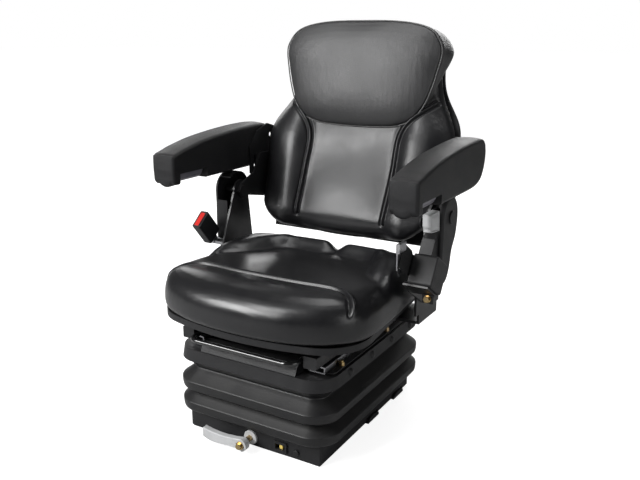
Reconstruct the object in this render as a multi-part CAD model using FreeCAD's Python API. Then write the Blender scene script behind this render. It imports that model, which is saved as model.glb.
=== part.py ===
import FreeCAD, Part
import math
import os

Vector = FreeCAD.Vector

# Suspension seat. Millimetres, +Z up, seat facing -Y, +X on the belt reel side.
# The origin is on the floor, at the middle of the base's four bolt slots.
# It stands at the top of its suspension travel, armrests down.

# Clearances
fit_gap = 0.05
face_gap = 0.3
swing_gap = 1.5

# Suspension base
sheet = 3.0
cover_width = 316.0
cover_wall = 2.5
cover_bottom = 4.0
cover_bow = 4.0
foot_reach = 7.0
base_height = 46.0
plate_overhang = 18.5
pivot_setback = 49.2
rear_room = 29.6
upper_frame_setback = 19.2
bolt_spacing_x = 216.0
bolt_spacing_y = 300.0
slot_radius = 4.5
slot_length = 25.0

# Scissor linkage
arm_length = 320.0
arm_height = 26.0
arm_thickness = 5.0
arm_gap = 3.0
scissor_rise = 155.0
travel = 60.0
roller_radius = 14.0
roller_width = 12.0
roller_play = 0.9
roller_back_play = 0.3
shaft_radius = 7.0
lip_width = 11.0
open_pivot_gap = 0.9

# Damper
damper_room = 7.2
damper_y = -20.0
damper_tube_radius = 14.0
damper_foot_radius = 19.0
damper_tube_top = 100.0
damper_floor = 6.0
damper_rod_radius = 5.0

# Weight adjustment
crank_z = 22.0
spindle_radius = 6.0
crank_stand_off = 32.0
crank_reach = 92.0
crank_grip_height = 27.0
crank_grip_thickness = 13.0
bush_radius = 15.0
window_x = 70.0
window_z = 21.0
window_width = 30.0
window_height = 22.0
bezel_rim = 4.0
plug_inset = 52.0
plug_z = 18.0
plug_radius = 6.0
plug_head = 3.6
spring_x = 36.0
spring_radius = 12.0
spring_coils = 14
carriage_setback = 40.0
carriage_thickness = 9.0

# Bellows and collar
bellows_reach_x = 30.8
bellows_reach_y = 28.3
bellows_corner = 58.0
bellows_wall = 2.6
fold_recess = 30.0
fold_band = 24.0
fold_edge = 6.0
collar_step = 3.7
collar_bottom = 162.0
collar_height = 24.0
collar_draft = 4.0
collar_wall = 3.0
cowl_side_room = 17.0
cowl_top = 206.0
clip_radius = 7.0
clip_count = 4
clip_pitch = 92.0
clip_shift = 14.0

# Slide rails
rail_setback = 12.2
lower_rail_width = 36.0
lower_rail_height = 14.0
lower_rail_front_reach = 10.0
lower_rail_rear_reach = 5.0
rail_wall = 2.5
upper_rail_width = 28.0
upper_rail_front = -215.0
upper_rail_rear = 180.0
slider_half_length = 105.0
slide_travel = 75.0
bar_radius = 5.0
bar_front = -240.0
bar_pivot_y = -130.0
bar_side_room = 7.0
bar_bend = 22.0
bar_z = 219.0

# Seat pan and cushion
pan_bottom = 232.0
pan_rim_bottom = 248.0
pan_rim_top = 261.0
pan_wall = 3.0
pan_half_width = 228.0
pan_rear_half_width = 204.0
pan_bow_radius = 600.0
pan_front_corner = 95.0
pan_rear_corner = 62.0
pan_front = -257.0
pan_rear = 188.0
cushion_top = 347.0
cushion_overhang = 12.0
panel_front = -146.0
panel_rear = 96.0
panel_front_half = 172.0
panel_rear_half = 105.0
panel_depth = 10.0
panel_tilt = 4.5
bolster_slope = 30.0
notch_half_width = 30.0
notch_depth = 26.0
cushion_roll = 36.0
cushion_rear = 156.0

# Backrest
recline_y = 105.0
recline_z = 444.0
back_bolster = 26.0
back_foam_low = 84.0
back_foam_high = 58.0
shell_thickness = 7.0
head_top = 833.0
head_bottom = 601.0
head_half_width = 194.0
head_thickness = 104.0
head_y = 200.0
head_tilt = 9.0
ear_thickness = 5.0

# Side plates and covers
side_plate_x = 241.0
side_plate_thickness = 5.0
cover_inner_x = 248.0
cover_outer_x = 283.0
cover_shell = 2.5
cover_reach = 48.5
pivot_radius = 9.0
cap_radius = 14.0
lever_grip_width = 30.0

# Armrests
arm_inner_x = 245.6
arm_width = 59.0
arm_edge_radius = 8.0
arm_hinge_y = 196.0
arm_hinge_z = 556.0
hinge_pin_radius = 8.0
bracket_thickness = 4.0
tilt_roller_radius = 22.0
tilt_roller_length = 80.0
tilt_roller_y = -55.0
tilt_roller_z = 515.0
tilt_slot_top = 508.0
tilt_axle_radius = 4.0

# Belt buckle and reel
buckle_x = -278.5
buckle_face_y = -2.0
buckle_face_z = 392.0
buckle_tilt = 40.0
buckle_width = 45.0
buckle_thickness = 22.0
buckle_length = 62.0
button_travel = 4.0
reel_width = 48.0
reel_height = 62.0
reel_depth = 63.0
reel_tilt = 33.0
reel_inner_x = 257.0
reel_top_y = -13.0
reel_top_z = 397.0
bolt_x = 283.0
bolt_y = -4.0
bolt_z = 305.0
bolt_radius = 4.5

# Places worked out from the sizes above
frame_half_width = cover_width / 2 - cover_wall - face_gap
plug_x = cover_width / 2 - plug_inset
rest_angle = math.asin(scissor_rise / arm_length)
lowest_angle = math.asin((scissor_rise - travel) / arm_length)
frame_half_depth = (pivot_setback + arm_length * math.cos(lowest_angle) + roller_radius + rear_room) / 2
cover_depth = 2 * (frame_half_depth + cover_wall + face_gap)
upper_frame_half_depth = frame_half_depth - upper_frame_setback
arm_pivot_y = pivot_setback - frame_half_depth
lower_pivot_z = sheet + roller_play + roller_radius
upper_pivot_z = lower_pivot_z + scissor_rise
roller_y = arm_pivot_y + arm_length * math.cos(rest_angle)
plate_z = upper_pivot_z + roller_radius + roller_play
plate_top = plate_z + sheet
roller_outer_x = frame_half_width - sheet - 1.0
roller_inner_x = roller_outer_x - roller_width
outer_arm_x = roller_inner_x - 14.0 - arm_thickness
inner_arm_x = outer_arm_x - arm_gap - arm_thickness
damper_x = inner_arm_x - 4 - damper_foot_radius - damper_room
carriage_y = arm_pivot_y + carriage_setback
crank_plane_y = -cover_depth / 2 - cover_bow - crank_stand_off
bellows_width = 2 * (frame_half_width + bellows_reach_x)
bellows_depth = 2 * (frame_half_depth + bellows_reach_y)
collar_width = bellows_width - 2 * collar_step
collar_depth = bellows_depth - 2 * collar_step
collar_top = collar_bottom + collar_height
rail_x = frame_half_width - rail_setback
lower_rail_front = -upper_frame_half_depth - lower_rail_front_reach
lower_rail_rear = upper_frame_half_depth + lower_rail_rear_reach
bar_half_width = rail_x - upper_rail_width / 2 - bar_side_room
cowl_half_width = rail_x - upper_rail_width / 2 - cowl_side_room
rail_top = plate_top + lower_rail_height
upper_rail_bottom = cowl_top + swing_gap
upper_rail_height = pan_bottom - upper_rail_bottom
arm_outer_x = arm_inner_x + arm_width
arm_middle_x = arm_inner_x + arm_width / 2
ear_x = side_plate_x - face_gap - ear_thickness


def block(x, y, z):
    """Box between pairs of low and high values."""
    return Part.makeBox(x[1] - x[0], y[1] - y[0], z[1] - z[0], Vector(x[0], y[0], z[0]))


def rod(start, direction, length, radius):
    return Part.makeCylinder(radius, length, Vector(*start), Vector(*direction))


def fuse(first, *others):
    return first.fuse(list(others)).removeSplitter()


def mirrored(shape):
    return shape.mirror(Vector(0, 0, 0), Vector(1, 0, 0))


def both_sides(shape):
    return Part.Compound([shape, mirrored(shape)])


def filleted(shape, radius, chosen):
    """Fillet the edges that the test picks."""
    return shape.makeFillet(radius, [edge for edge in shape.Edges if chosen(edge)])


def runs_along(edge, axis):
    if edge.Curve.TypeId != "Part::GeomLine":
        return False
    direction = edge.Curve.Direction
    return abs(abs((direction.x, direction.y, direction.z)[axis]) - 1) < 1e-6


def rounded_wire(width, depth, radius, z, middle_y=0.0):
    """Rectangle with round corners, flat at height z."""
    half_x, half_y = width / 2, depth / 2
    centres = [(half_x - radius, -half_y + radius), (half_x - radius, half_y - radius),
               (-half_x + radius, half_y - radius), (-half_x + radius, -half_y + radius)]
    arcs = []
    for index, (x, y) in enumerate(centres):
        start = -90 + 90 * index
        circle = Part.Circle(Vector(x, y + middle_y, z), Vector(0, 0, 1), radius)
        arcs.append(Part.Arc(circle, math.radians(start), math.radians(start + 90)).toShape())
    edges = []
    for index, arc in enumerate(arcs):
        following = arcs[(index + 1) % 4]
        edges.append(arc)
        edges.append(Part.makeLine(arc.valueAt(arc.LastParameter),
                                   following.valueAt(following.FirstParameter)))
    return Part.Wire(edges)


def rounded_block(width, depth, radius, z, middle_y=0.0):
    wire = rounded_wire(width, depth, radius, z[0], middle_y)
    return Part.Face(wire).extrude(Vector(0, 0, z[1] - z[0]))


def loft(wires, ruled=False):
    return Part.makeLoft(wires, True, ruled)


def side_profile(points, x, arcs=()):
    """Outline in the YZ plane, drawn at x[0] and pushed to x[1].

    arcs holds the indexes of points that are the middle of an arc."""
    corners = [Vector(x[0], y, z) for y, z in points]
    count = len(corners)
    edges = []
    index = 0
    while index < count:
        middle = (index + 1) % count
        if middle in arcs:
            end = (index + 2) % count
            edges.append(Part.Arc(corners[index], corners[middle], corners[end]).toShape())
            index += 2
        else:
            edges.append(Part.makeLine(corners[index], corners[middle]))
            index += 1
    return Part.Face(Part.Wire(edges)).extrude(Vector(x[1] - x[0], 0, 0))


def smooth_loop(points):
    """Closed smooth curve through the points."""
    curve = Part.BSplineCurve()
    curve.interpolate(points, PeriodicFlag=True)
    return Part.Wire(curve.toShape())


# Suspension base

def base_frame():
    """Folded steel tray: floor, walls, and the lips that hold the lower rollers down."""
    half_x, half_y = frame_half_width, frame_half_depth
    tray = block((-half_x, half_x), (-half_y, half_y), (0, base_height))
    inside = block((-half_x + sheet, half_x - sheet), (-half_y + sheet, half_y - sheet),
                   (sheet, base_height + 1))
    tray = tray.cut(inside)
    lip_z = lower_pivot_z + roller_radius + roller_back_play
    lip = block((half_x - sheet - lip_width, half_x - sheet + 1), (-20, half_y - sheet + 1),
                (lip_z, lip_z + sheet))
    tray = fuse(tray, lip, mirrored(lip))
    foot = side_profile([(-8, 0), (8, 0), (42, 0), (42, 6), (17, 11), (-8, 6)],
                        (half_x - 1, half_x + foot_reach), arcs=(4,))
    rear_foot = foot.translated(Vector(0, 126, 0))
    tray = fuse(tray, foot, rear_foot, mirrored(foot), mirrored(rear_foot))
    cuts = []
    for x in (-bolt_spacing_x / 2, bolt_spacing_x / 2):
        for y in (-bolt_spacing_y / 2, bolt_spacing_y / 2):
            reach = slot_length / 2 - slot_radius
            cuts.append(block((x - reach, x + reach), (y - slot_radius, y + slot_radius), (-1, sheet + 1)))
            cuts.append(rod((x - reach, y, -1), (0, 0, 1), sheet + 2, slot_radius))
            cuts.append(rod((x + reach, y, -1), (0, 0, 1), sheet + 2, slot_radius))
    cuts.append(rod((0, -half_y - 1, crank_z), (0, 1, 0), sheet + 2, spindle_radius + face_gap))
    for side in (-1, 1):
        cuts.append(rod((side * (half_x + 1), arm_pivot_y, lower_pivot_z), (-side, 0, 0),
                        sheet + 2, shaft_radius + fit_gap))
    return tray.cut(cuts)


def base_cover():
    """Plastic skirt round the tray, with a front that bows out a little."""
    half_x, half_y = cover_width / 2, cover_depth / 2
    height = base_height - cover_bottom
    corners = [Vector(half_x, -half_y, cover_bottom), Vector(half_x, half_y, cover_bottom),
               Vector(-half_x, half_y, cover_bottom), Vector(-half_x, -half_y, cover_bottom)]
    edges = [Part.makeLine(corners[0], corners[1]), Part.makeLine(corners[1], corners[2]),
             Part.makeLine(corners[2], corners[3]),
             Part.Arc(corners[3], Vector(0, -half_y - cover_bow, cover_bottom), corners[0]).toShape()]
    skirt = Part.Face(Part.Wire(edges)).extrude(Vector(0, 0, height))
    skirt = filleted(skirt, 3.0, lambda edge: runs_along(edge, 2))
    inside = block((-frame_half_width - face_gap, frame_half_width + face_gap),
                   (-frame_half_depth - face_gap, frame_half_depth + face_gap), (0, base_height + 1))
    skirt = skirt.cut(inside)
    reach = cover_wall + cover_bow + 2
    front = -half_y - cover_bow - 1
    cuts = [rod((0, front, crank_z), (0, 1, 0), reach, bush_radius - 2),
            rod((plug_x, front, plug_z), (0, 1, 0), reach, plug_radius - 1.5),
            block((window_x - window_width / 2 + 2, window_x + window_width / 2 - 2), (front, front + reach),
                  (window_z - window_height / 2 + 2, window_z + window_height / 2 - 2))]
    for side in (-1, 1):
        for y in (17, 143):
            cuts.append(block((side * half_x - 6, side * half_x + 6), (y - 26, y + 26), (0, 12)))
    return skirt.cut(cuts)


def crank_bush():
    """Ring that the crank turns in, through the front cover."""
    front = -cover_depth / 2 - cover_bow - 5
    back = -frame_half_depth - face_gap
    flange_back = -cover_depth / 2 - cover_bow - face_gap
    flange = rod((0, front, crank_z), (0, 1, 0), flange_back - front, bush_radius)
    sleeve = rod((0, front, crank_z), (0, 1, 0), back - front, bush_radius - 2 - face_gap)
    ring = fuse(flange, sleeve)
    ring = ring.cut(rod((0, front - 1, crank_z), (0, 1, 0), back - front + 2, spindle_radius + fit_gap))
    return filleted(ring, 1.5, lambda edge: edge.Curve.TypeId == "Part::GeomCircle"
                    and abs(edge.Curve.Radius - bush_radius) < 0.01 and edge.CenterOfMass.y < front + 0.1)


def window_bezel():
    """Frame of the weight window."""
    front = -cover_depth / 2 - cover_bow - 3
    flange_back = -cover_depth / 2 - cover_bow + 0.5 - face_gap
    back = -frame_half_depth - face_gap
    half_w, half_h = window_width / 2, window_height / 2
    flange = block((window_x - half_w, window_x + half_w), (front, flange_back),
                   (window_z - half_h, window_z + half_h))
    flange = filleted(flange, 2.0, lambda edge: runs_along(edge, 1))
    neck_w, neck_h = half_w - 2 - face_gap, half_h - 2 - face_gap
    neck = block((window_x - neck_w, window_x + neck_w), (front, back),
                 (window_z - neck_h, window_z + neck_h))
    hole = block((window_x - half_w + bezel_rim, window_x + half_w - bezel_rim), (front - 1, back + 1),
                 (window_z - half_h + bezel_rim + 1, window_z + half_h - bezel_rim - 1))
    return fuse(flange, neck).cut(hole)


def weight_indicator():
    """Pointer that shows through the weight window, sliding on the tray's front wall."""
    back = -frame_half_depth - face_gap
    half_h = window_height / 2 - bezel_rim - 1 - face_gap
    pointer = block((window_x - 4, window_x + 4), (back - 5, back), (window_z - half_h, window_z + half_h))
    return filleted(pointer, 1.2, lambda edge: runs_along(edge, 2) and edge.CenterOfMass.y < back - 4)


def cover_plug():
    """Push-in plug whose head lies on the bowed front of the cover."""
    half_x = cover_width / 2
    bow_radius = (half_x ** 2 + cover_bow ** 2) / (2 * cover_bow)
    inner_x = plug_x - plug_radius
    seat = -cover_depth / 2 + bow_radius - cover_bow - math.sqrt(bow_radius ** 2 - inner_x ** 2) - face_gap
    front = seat - plug_head
    tip = -cover_depth / 2 + cover_wall - 0.5
    head = rod((plug_x, front, plug_z), (0, 1, 0), plug_head, plug_radius)
    shank = rod((plug_x, front, plug_z), (0, 1, 0), tip - front, plug_radius - 1.8)
    plug = fuse(head, shank)
    return filleted(plug, 1.2, lambda edge: edge.Curve.TypeId == "Part::GeomCircle"
                    and edge.CenterOfMass.y < front + 0.1)


def crank_spindle():
    """Threaded spindle from the crank to the spring carriage, with its thrust flange."""
    front = crank_plane_y - crank_grip_thickness / 2
    rear = carriage_y + carriage_thickness + 12
    spindle = rod((0, front, crank_z), (0, 1, 0), rear - front, spindle_radius)
    flange_y = -frame_half_depth + sheet + face_gap
    flange = rod((0, flange_y, crank_z), (0, 1, 0), 4, spindle_radius + 5)
    return fuse(spindle, flange)


def crank_handle():
    """Plastic crank lever: a boss on the spindle and a grip that flares at its end."""
    half_t, half_h = crank_grip_thickness / 2, crank_grip_height / 2
    plane_y = crank_plane_y - half_t
    shape = [(0, half_h), (-36, 0.66 * half_h), (-68, 0.7 * half_h), (-crank_reach, half_h),
             (-crank_reach - 1, -0.5 * half_h), (-66, -0.95 * half_h), (-36, -0.8 * half_h), (0, -half_h)]
    outline = [Vector(x, plane_y, crank_z + z) for x, z in shape]
    upper = Part.BSplineCurve()
    upper.interpolate(outline[:4])
    lower = Part.BSplineCurve()
    lower.interpolate(outline[4:])
    end = Part.makeLine(outline[3], outline[4])
    boss_end = Part.Arc(outline[7], Vector(half_h, plane_y, crank_z), outline[0]).toShape()
    wire = Part.Wire([upper.toShape(), end, lower.toShape(), boss_end])
    lever = Part.Face(wire).extrude(Vector(0, crank_grip_thickness, 0))
    lever = filleted(lever, 2.0, lambda edge: not runs_along(edge, 1) and edge.CenterOfMass.x < -1
                     and edge.CenterOfMass.x > -crank_reach + 1)
    bore = rod((0, crank_plane_y - half_t - 1, crank_z), (0, 1, 0), crank_grip_thickness + 2,
               spindle_radius + fit_gap)
    return lever.cut(bore)


def crank_screw():
    """Flanged screw that holds the lever on the spindle."""
    face = crank_plane_y - crank_grip_thickness / 2
    flange = rod((0, face - 2, crank_z), (0, 1, 0), 2 - fit_gap, spindle_radius + 2.5)
    corners = [Vector(6 * math.cos(math.radians(60 * i)), face - 8, crank_z + 6 * math.sin(math.radians(60 * i)))
               for i in range(7)]
    head = Part.Face(Part.makePolygon(corners)).extrude(Vector(0, 6.5, 0))
    return fuse(flange, head)


def spring_carriage():
    """Nut plate on the spindle that the tension springs hook on."""
    half_width = spring_x + spring_radius
    plate = block((-half_width, half_width), (carriage_y, carriage_y + carriage_thickness),
                  (sheet + face_gap, crank_z + 14))
    plate = filleted(plate, 4.0, lambda edge: runs_along(edge, 1))
    boss = rod((0, carriage_y - 8, crank_z), (0, 1, 0), 8 + carriage_thickness, spindle_radius + 5)
    plate = fuse(plate, boss)
    return plate.cut(rod((0, carriage_y - 9, crank_z), (0, 1, 0), carriage_thickness + 20,
                         spindle_radius + fit_gap))


def tension_springs():
    """Pair of close-wound springs from the carriage to the lower roller shaft."""
    front = carriage_y + carriage_thickness + face_gap
    rear = roller_y - shaft_radius - face_gap
    hook = 16.0
    wound = rear - front - 2 * hook
    pitch = wound / spring_coils
    groove = 2.0
    points = [Vector(spring_x, front + hook, lower_pivot_z)]
    for coil in range(spring_coils):
        y = front + hook + coil * pitch
        points.append(Vector(spring_x + spring_radius - groove, y, lower_pivot_z))
        points.append(Vector(spring_x + spring_radius, y + pitch / 2, lower_pivot_z))
    points.append(Vector(spring_x + spring_radius - groove, rear - hook, lower_pivot_z))
    points.append(Vector(spring_x, rear - hook, lower_pivot_z))
    points.append(points[0])
    body = Part.Face(Part.makePolygon(points)).revolve(Vector(spring_x, 0, lower_pivot_z), Vector(0, 1, 0), 360)
    front_hook = rod((spring_x, front, lower_pivot_z), (0, 1, 0), hook + 1, 2.2)
    rear_hook = rod((spring_x, rear - hook - 1, lower_pivot_z), (0, 1, 0), hook + 1, 2.2)
    return both_sides(fuse(body, front_hook, rear_hook))


# Scissor linkage

def arm_point(pivot_z, rising, distance):
    """Point on an arm's middle line, measured from its pivot."""
    return (arm_pivot_y + distance * math.cos(rest_angle),
            pivot_z + rising * distance * math.sin(rest_angle))


def scissor_arm(x, pivot_z, rising, centre_hole):
    """Flat bar with round ends, a pivot hole and a roller shaft hole."""
    half = arm_height / 2
    bar = block((x, x + arm_thickness), (0, arm_length), (-half, half))
    ends = [rod((x, 0, 0), (1, 0, 0), arm_thickness, half),
            rod((x, arm_length, 0), (1, 0, 0), arm_thickness, half)]
    arm = fuse(bar, *ends)
    holes = [rod((x - 1, 0, 0), (1, 0, 0), arm_thickness + 2, shaft_radius + fit_gap),
             rod((x - 1, arm_length, 0), (1, 0, 0), arm_thickness + 2, shaft_radius + fit_gap),
             rod((x - 1, arm_length / 2, 0), (1, 0, 0), arm_thickness + 2, centre_hole)]
    for share in (0.27, 0.73):
        holes.append(rod((x - 1, arm_length * share, 0), (1, 0, 0), arm_thickness + 2, half * 0.5))
    arm = arm.cut(holes)
    arm.rotate(Vector(0, 0, 0), Vector(1, 0, 0), math.degrees(rising * rest_angle))
    arm.translate(Vector(0, arm_pivot_y, pivot_z))
    return arm


def outer_arm():
    return scissor_arm(outer_arm_x, lower_pivot_z, 1, shaft_radius + fit_gap)


def inner_arm():
    return scissor_arm(inner_arm_x, upper_pivot_z, -1, shaft_radius + open_pivot_gap)


def scissor_pins():
    """Rivets at the crossing, fast in the outer arms and loose in the inner ones."""
    y, z = arm_point(lower_pivot_z, 1, arm_length / 2)
    outer = outer_arm_x + arm_thickness
    pin = rod((inner_arm_x - 2, y, z), (1, 0, 0), outer - inner_arm_x + 2, shaft_radius)
    head = rod((inner_arm_x - 4, y, z), (1, 0, 0), 3.5, shaft_radius + 4)
    rivet = rod((outer, y, z), (1, 0, 0), 3, shaft_radius + 3)
    return both_sides(fuse(pin, head, rivet))


def roller_shaft(z):
    length = 2 * (roller_outer_x + 0.8)
    return rod((-length / 2, roller_y, z), (1, 0, 0), length, shaft_radius)


def rollers(z):
    """Rollers on both ends of a shaft."""
    roller = rod((roller_inner_x, roller_y, z), (1, 0, 0), roller_width, roller_radius)
    roller = filleted(roller, 1.0, lambda edge: edge.Curve.TypeId == "Part::GeomCircle")
    hub = rod((outer_arm_x + arm_thickness + face_gap, roller_y, z), (1, 0, 0),
              roller_inner_x - outer_arm_x - arm_thickness - face_gap + 1, shaft_radius + 2.5)
    bore = rod((outer_arm_x, roller_y, z), (1, 0, 0), 60, shaft_radius + fit_gap)
    return both_sides(fuse(roller, hub).cut(bore))


def pivot_pins(z, reach):
    """Headed pins through the frame's side walls, one for each arm of a pair."""
    inner = inner_arm_x - 4
    pin = rod((inner, arm_pivot_y, z), (1, 0, 0), reach - inner, shaft_radius)
    collar = rod((outer_arm_x + arm_thickness + face_gap, arm_pivot_y, z), (1, 0, 0),
                 frame_half_width - sheet - outer_arm_x - arm_thickness - 2 * face_gap, shaft_radius + 4)
    head = rod((inner, arm_pivot_y, z), (1, 0, 0), 3.5, shaft_radius + 3)
    return both_sides(fuse(pin, collar, head))


def damper_tube():
    """Upright oil damper body on the tray's floor."""
    foot = rod((damper_x, damper_y, sheet), (0, 0, 1), 5, damper_foot_radius)
    tube = rod((damper_x, damper_y, sheet), (0, 0, 1), damper_tube_top - sheet, damper_tube_radius)
    body = fuse(foot, tube)
    bore_bottom = sheet + damper_floor
    chamber = rod((damper_x, damper_y, bore_bottom), (0, 0, 1), damper_tube_top - bore_bottom + 1,
                  damper_rod_radius + fit_gap)
    return body.cut(chamber)


def damper_rod():
    bottom = sheet + damper_floor + travel + 2 * swing_gap
    rod_body = rod((damper_x, damper_y, bottom), (0, 0, 1), plate_z - bottom, damper_rod_radius)
    eye = rod((damper_x, damper_y, plate_z - 12), (0, 0, 1), 12, damper_rod_radius + 5)
    return fuse(rod_body, eye)


# Bellows and collar

def fold_profile():
    """Inset and height pairs up the bellows: a band, a crease and a slope for each fold."""
    pitch = (collar_bottom - base_height) * 0.402
    rings = []
    level = base_height + face_gap
    for fold in range(2):
        rings.append((fold_recess, level))
        rings.append((fold_edge, level + 2))
        rings.append((1.2, level + 6))
        rings.append((0.0, level + fold_band))
        level += pitch
    rings.append((fold_recess, level))
    for z in (collar_bottom + 1, collar_bottom + 7):
        rings.append((collar_step + collar_inner(z) + face_gap, z))
    return rings


def collar_inner(z):
    """How far the collar's inner face lies inside its outer bottom edge at height z."""
    return collar_wall + collar_draft * (z - collar_bottom + 1) / (collar_height - collar_wall + 1)


def stacked_lofts(rings, shrink):
    solid = None
    for (inset_a, z_a), (inset_b, z_b) in zip(rings[:-1], rings[1:]):
        wires = []
        for inset, z in ((inset_a, z_a), (inset_b, z_b)):
            inset = inset + shrink
            wires.append(rounded_wire(bellows_width - 2 * inset, bellows_depth - 2 * inset,
                                      bellows_corner - inset, z))
        piece = loft(wires, ruled=True)
        solid = piece if solid is None else solid.fuse(piece)
    return solid


def bellows():
    """Rubber bellows with two folds, open at both ends."""
    rings = fold_profile()
    outer = stacked_lofts(rings, 0.0)
    inner_rings = [(rings[0][0], rings[0][1] - 1)] + rings[1:-1] + [(rings[-1][0], rings[-1][1] + 1)]
    inner = stacked_lofts(inner_rings, bellows_wall)
    return outer.cut(inner)


def bellows_collar():
    """Flared plastic band over the top of the bellows, with a raised cowl in front."""
    corner = bellows_corner - collar_step
    outer = loft([rounded_wire(collar_width, collar_depth, corner, collar_bottom),
                  rounded_wire(collar_width - 2 * collar_draft, collar_depth - 2 * collar_draft,
                               corner - collar_draft, collar_top)], ruled=True)
    wall = collar_wall
    inner = loft([rounded_wire(collar_width - 2 * wall, collar_depth - 2 * wall, corner - wall,
                               collar_bottom - 1),
                  rounded_wire(collar_width - 2 * (collar_draft + wall), collar_depth - 2 * (collar_draft + wall),
                               corner - collar_draft - wall, collar_top - wall)], ruled=True)
    band = outer.cut(inner)
    front = -collar_depth / 2
    outer_cowl = side_profile([(front + 1.5, collar_bottom + 6), (front + 12, cowl_top - 10),
                               (front + 19, cowl_top), (front + 36, cowl_top), (front + 40, collar_top - 2)],
                              (-cowl_half_width, cowl_half_width), arcs=(1,))
    inner_cowl = side_profile([(front + 1.5 + wall, collar_bottom + 4), (front + 12 + wall, cowl_top - 11),
                               (front + 20, cowl_top - wall), (front + 41, cowl_top - wall),
                               (front + 41, collar_bottom + 4)],
                              (-cowl_half_width + wall, cowl_half_width - wall), arcs=(1,))
    collar = fuse(band, outer_cowl).cut(inner_cowl)
    hole_x, hole_y = frame_half_width + face_gap, upper_frame_half_depth + face_gap
    hole = block((-hole_x, hole_x), (-hole_y, hole_y), (collar_bottom - 5, cowl_top + 5))
    return collar.cut(hole)


def collar_clips():
    """Push clips along both sides of the collar."""
    side = (collar_width - collar_draft) / 2
    clips = []
    for index in range(clip_count):
        head = Part.makeSphere(clip_radius * 1.5, Vector(-clip_radius * 0.9, 0, 0))
        head = head.common(block((face_gap, 20), (-20, 20), (-20, 20)))
        head.rotate(Vector(0, 0, 0), Vector(0, 1, 0), -math.degrees(math.atan(collar_draft / collar_height)))
        y = (index - (clip_count - 1) / 2) * clip_pitch + clip_shift
        head.translate(Vector(side, y, collar_bottom + collar_height / 2))
        clips.append(head)
        clips.append(mirrored(head))
    return Part.Compound(clips)


def upper_frame():
    """Pressed plate with folded sides and the lips under the upper rollers."""
    half_x, half_y = frame_half_width, upper_frame_half_depth
    lip_z = upper_pivot_z - roller_radius - roller_back_play
    tray = block((-half_x, half_x), (-half_y, half_y), (lip_z - sheet, plate_top))
    inside = block((-half_x + sheet, half_x - sheet), (-half_y + sheet, half_y - sheet), (0, plate_z))
    tray = tray.cut(inside)
    plate = rounded_block(2 * (half_x + plate_overhang), 2 * half_y, 12, (plate_z, plate_top))
    lip = block((half_x - sheet - lip_width, half_x - sheet + 1), (-20, half_y - sheet + 1),
                (lip_z - sheet, lip_z))
    frame = fuse(tray, plate, lip, mirrored(lip))
    cuts = []
    for side in (-1, 1):
        cuts.append(rod((side * (half_x + 1), arm_pivot_y, upper_pivot_z), (-side, 0, 0),
                        sheet + 2, shaft_radius + fit_gap))
    for y in (-90, 0, 90):
        cuts.append(rod((0, y, plate_z - 1), (0, 0, 1), sheet + 2, 30))
    return frame.cut(cuts)


# Slide rails and release bar

def lower_rail():
    """Steel C section with its mouth up."""
    half = lower_rail_width / 2
    outer = block((rail_x - half, rail_x + half), (lower_rail_front, lower_rail_rear), (plate_top, rail_top))
    outer = filleted(outer, 2.0, lambda edge: runs_along(edge, 1))
    inner = block((rail_x - half + rail_wall, rail_x + half - rail_wall),
                  (lower_rail_front - 1, lower_rail_rear + 1), (plate_top + rail_wall, rail_top - rail_wall))
    mouth = block((rail_x - 7, rail_x + 7), (lower_rail_front - 1, lower_rail_rear + 1),
                  (rail_top - rail_wall - 1, rail_top + 1))
    return outer.cut([inner, mouth])


def upper_rail():
    """Tube rail with a T slider that runs in the lower rail."""
    half = upper_rail_width / 2
    tube = block((rail_x - half, rail_x + half), (upper_rail_front, upper_rail_rear),
                 (upper_rail_bottom, pan_bottom - face_gap))
    tube = filleted(tube, 2.5, lambda edge: runs_along(edge, 1))
    inner = block((rail_x - half + rail_wall, rail_x + half - rail_wall),
                  (upper_rail_front + 6, upper_rail_rear - 6),
                  (upper_rail_bottom + rail_wall, pan_bottom - face_gap - rail_wall))
    tube = tube.cut(inner)
    stem = block((rail_x - 4, rail_x + 4), (-slider_half_length, slider_half_length),
                 (plate_top + rail_wall + face_gap, upper_rail_bottom + 1))
    foot_half = lower_rail_width / 2 - rail_wall - face_gap
    foot = block((rail_x - foot_half, rail_x + foot_half), (-slider_half_length, slider_half_length),
                 (plate_top + rail_wall + face_gap, rail_top - rail_wall - face_gap))
    rail = fuse(tube, stem, foot)
    socket = rod((rail_x - half - 1, bar_pivot_y, bar_z), (1, 0, 0), rail_wall + 1.5, bar_radius + fit_gap)
    return rail.cut(socket)


def rail_bolts():
    """Flanged nuts that hold the rails' outriggers to the plate."""
    bolts = []
    for y in (-137, 60, 150):
        x = rail_x + lower_rail_width / 2 + 6.2
        washer = rod((x, y, plate_top), (0, 0, 1), 1.5, 6.0)
        corners = [Vector(x + 5.5 * math.cos(math.radians(60 * i)), y + 5.5 * math.sin(math.radians(60 * i)),
                          plate_top + 1) for i in range(7)]
        nut = Part.Face(Part.makePolygon(corners)).extrude(Vector(0, 0, 6))
        stud = rod((x, y, plate_top + 1), (0, 0, 1), 9, 3.5)
        bolt = fuse(washer, nut, stud)
        bolts.append(bolt)
        bolts.append(mirrored(bolt))
    return Part.Compound(bolts)


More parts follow.
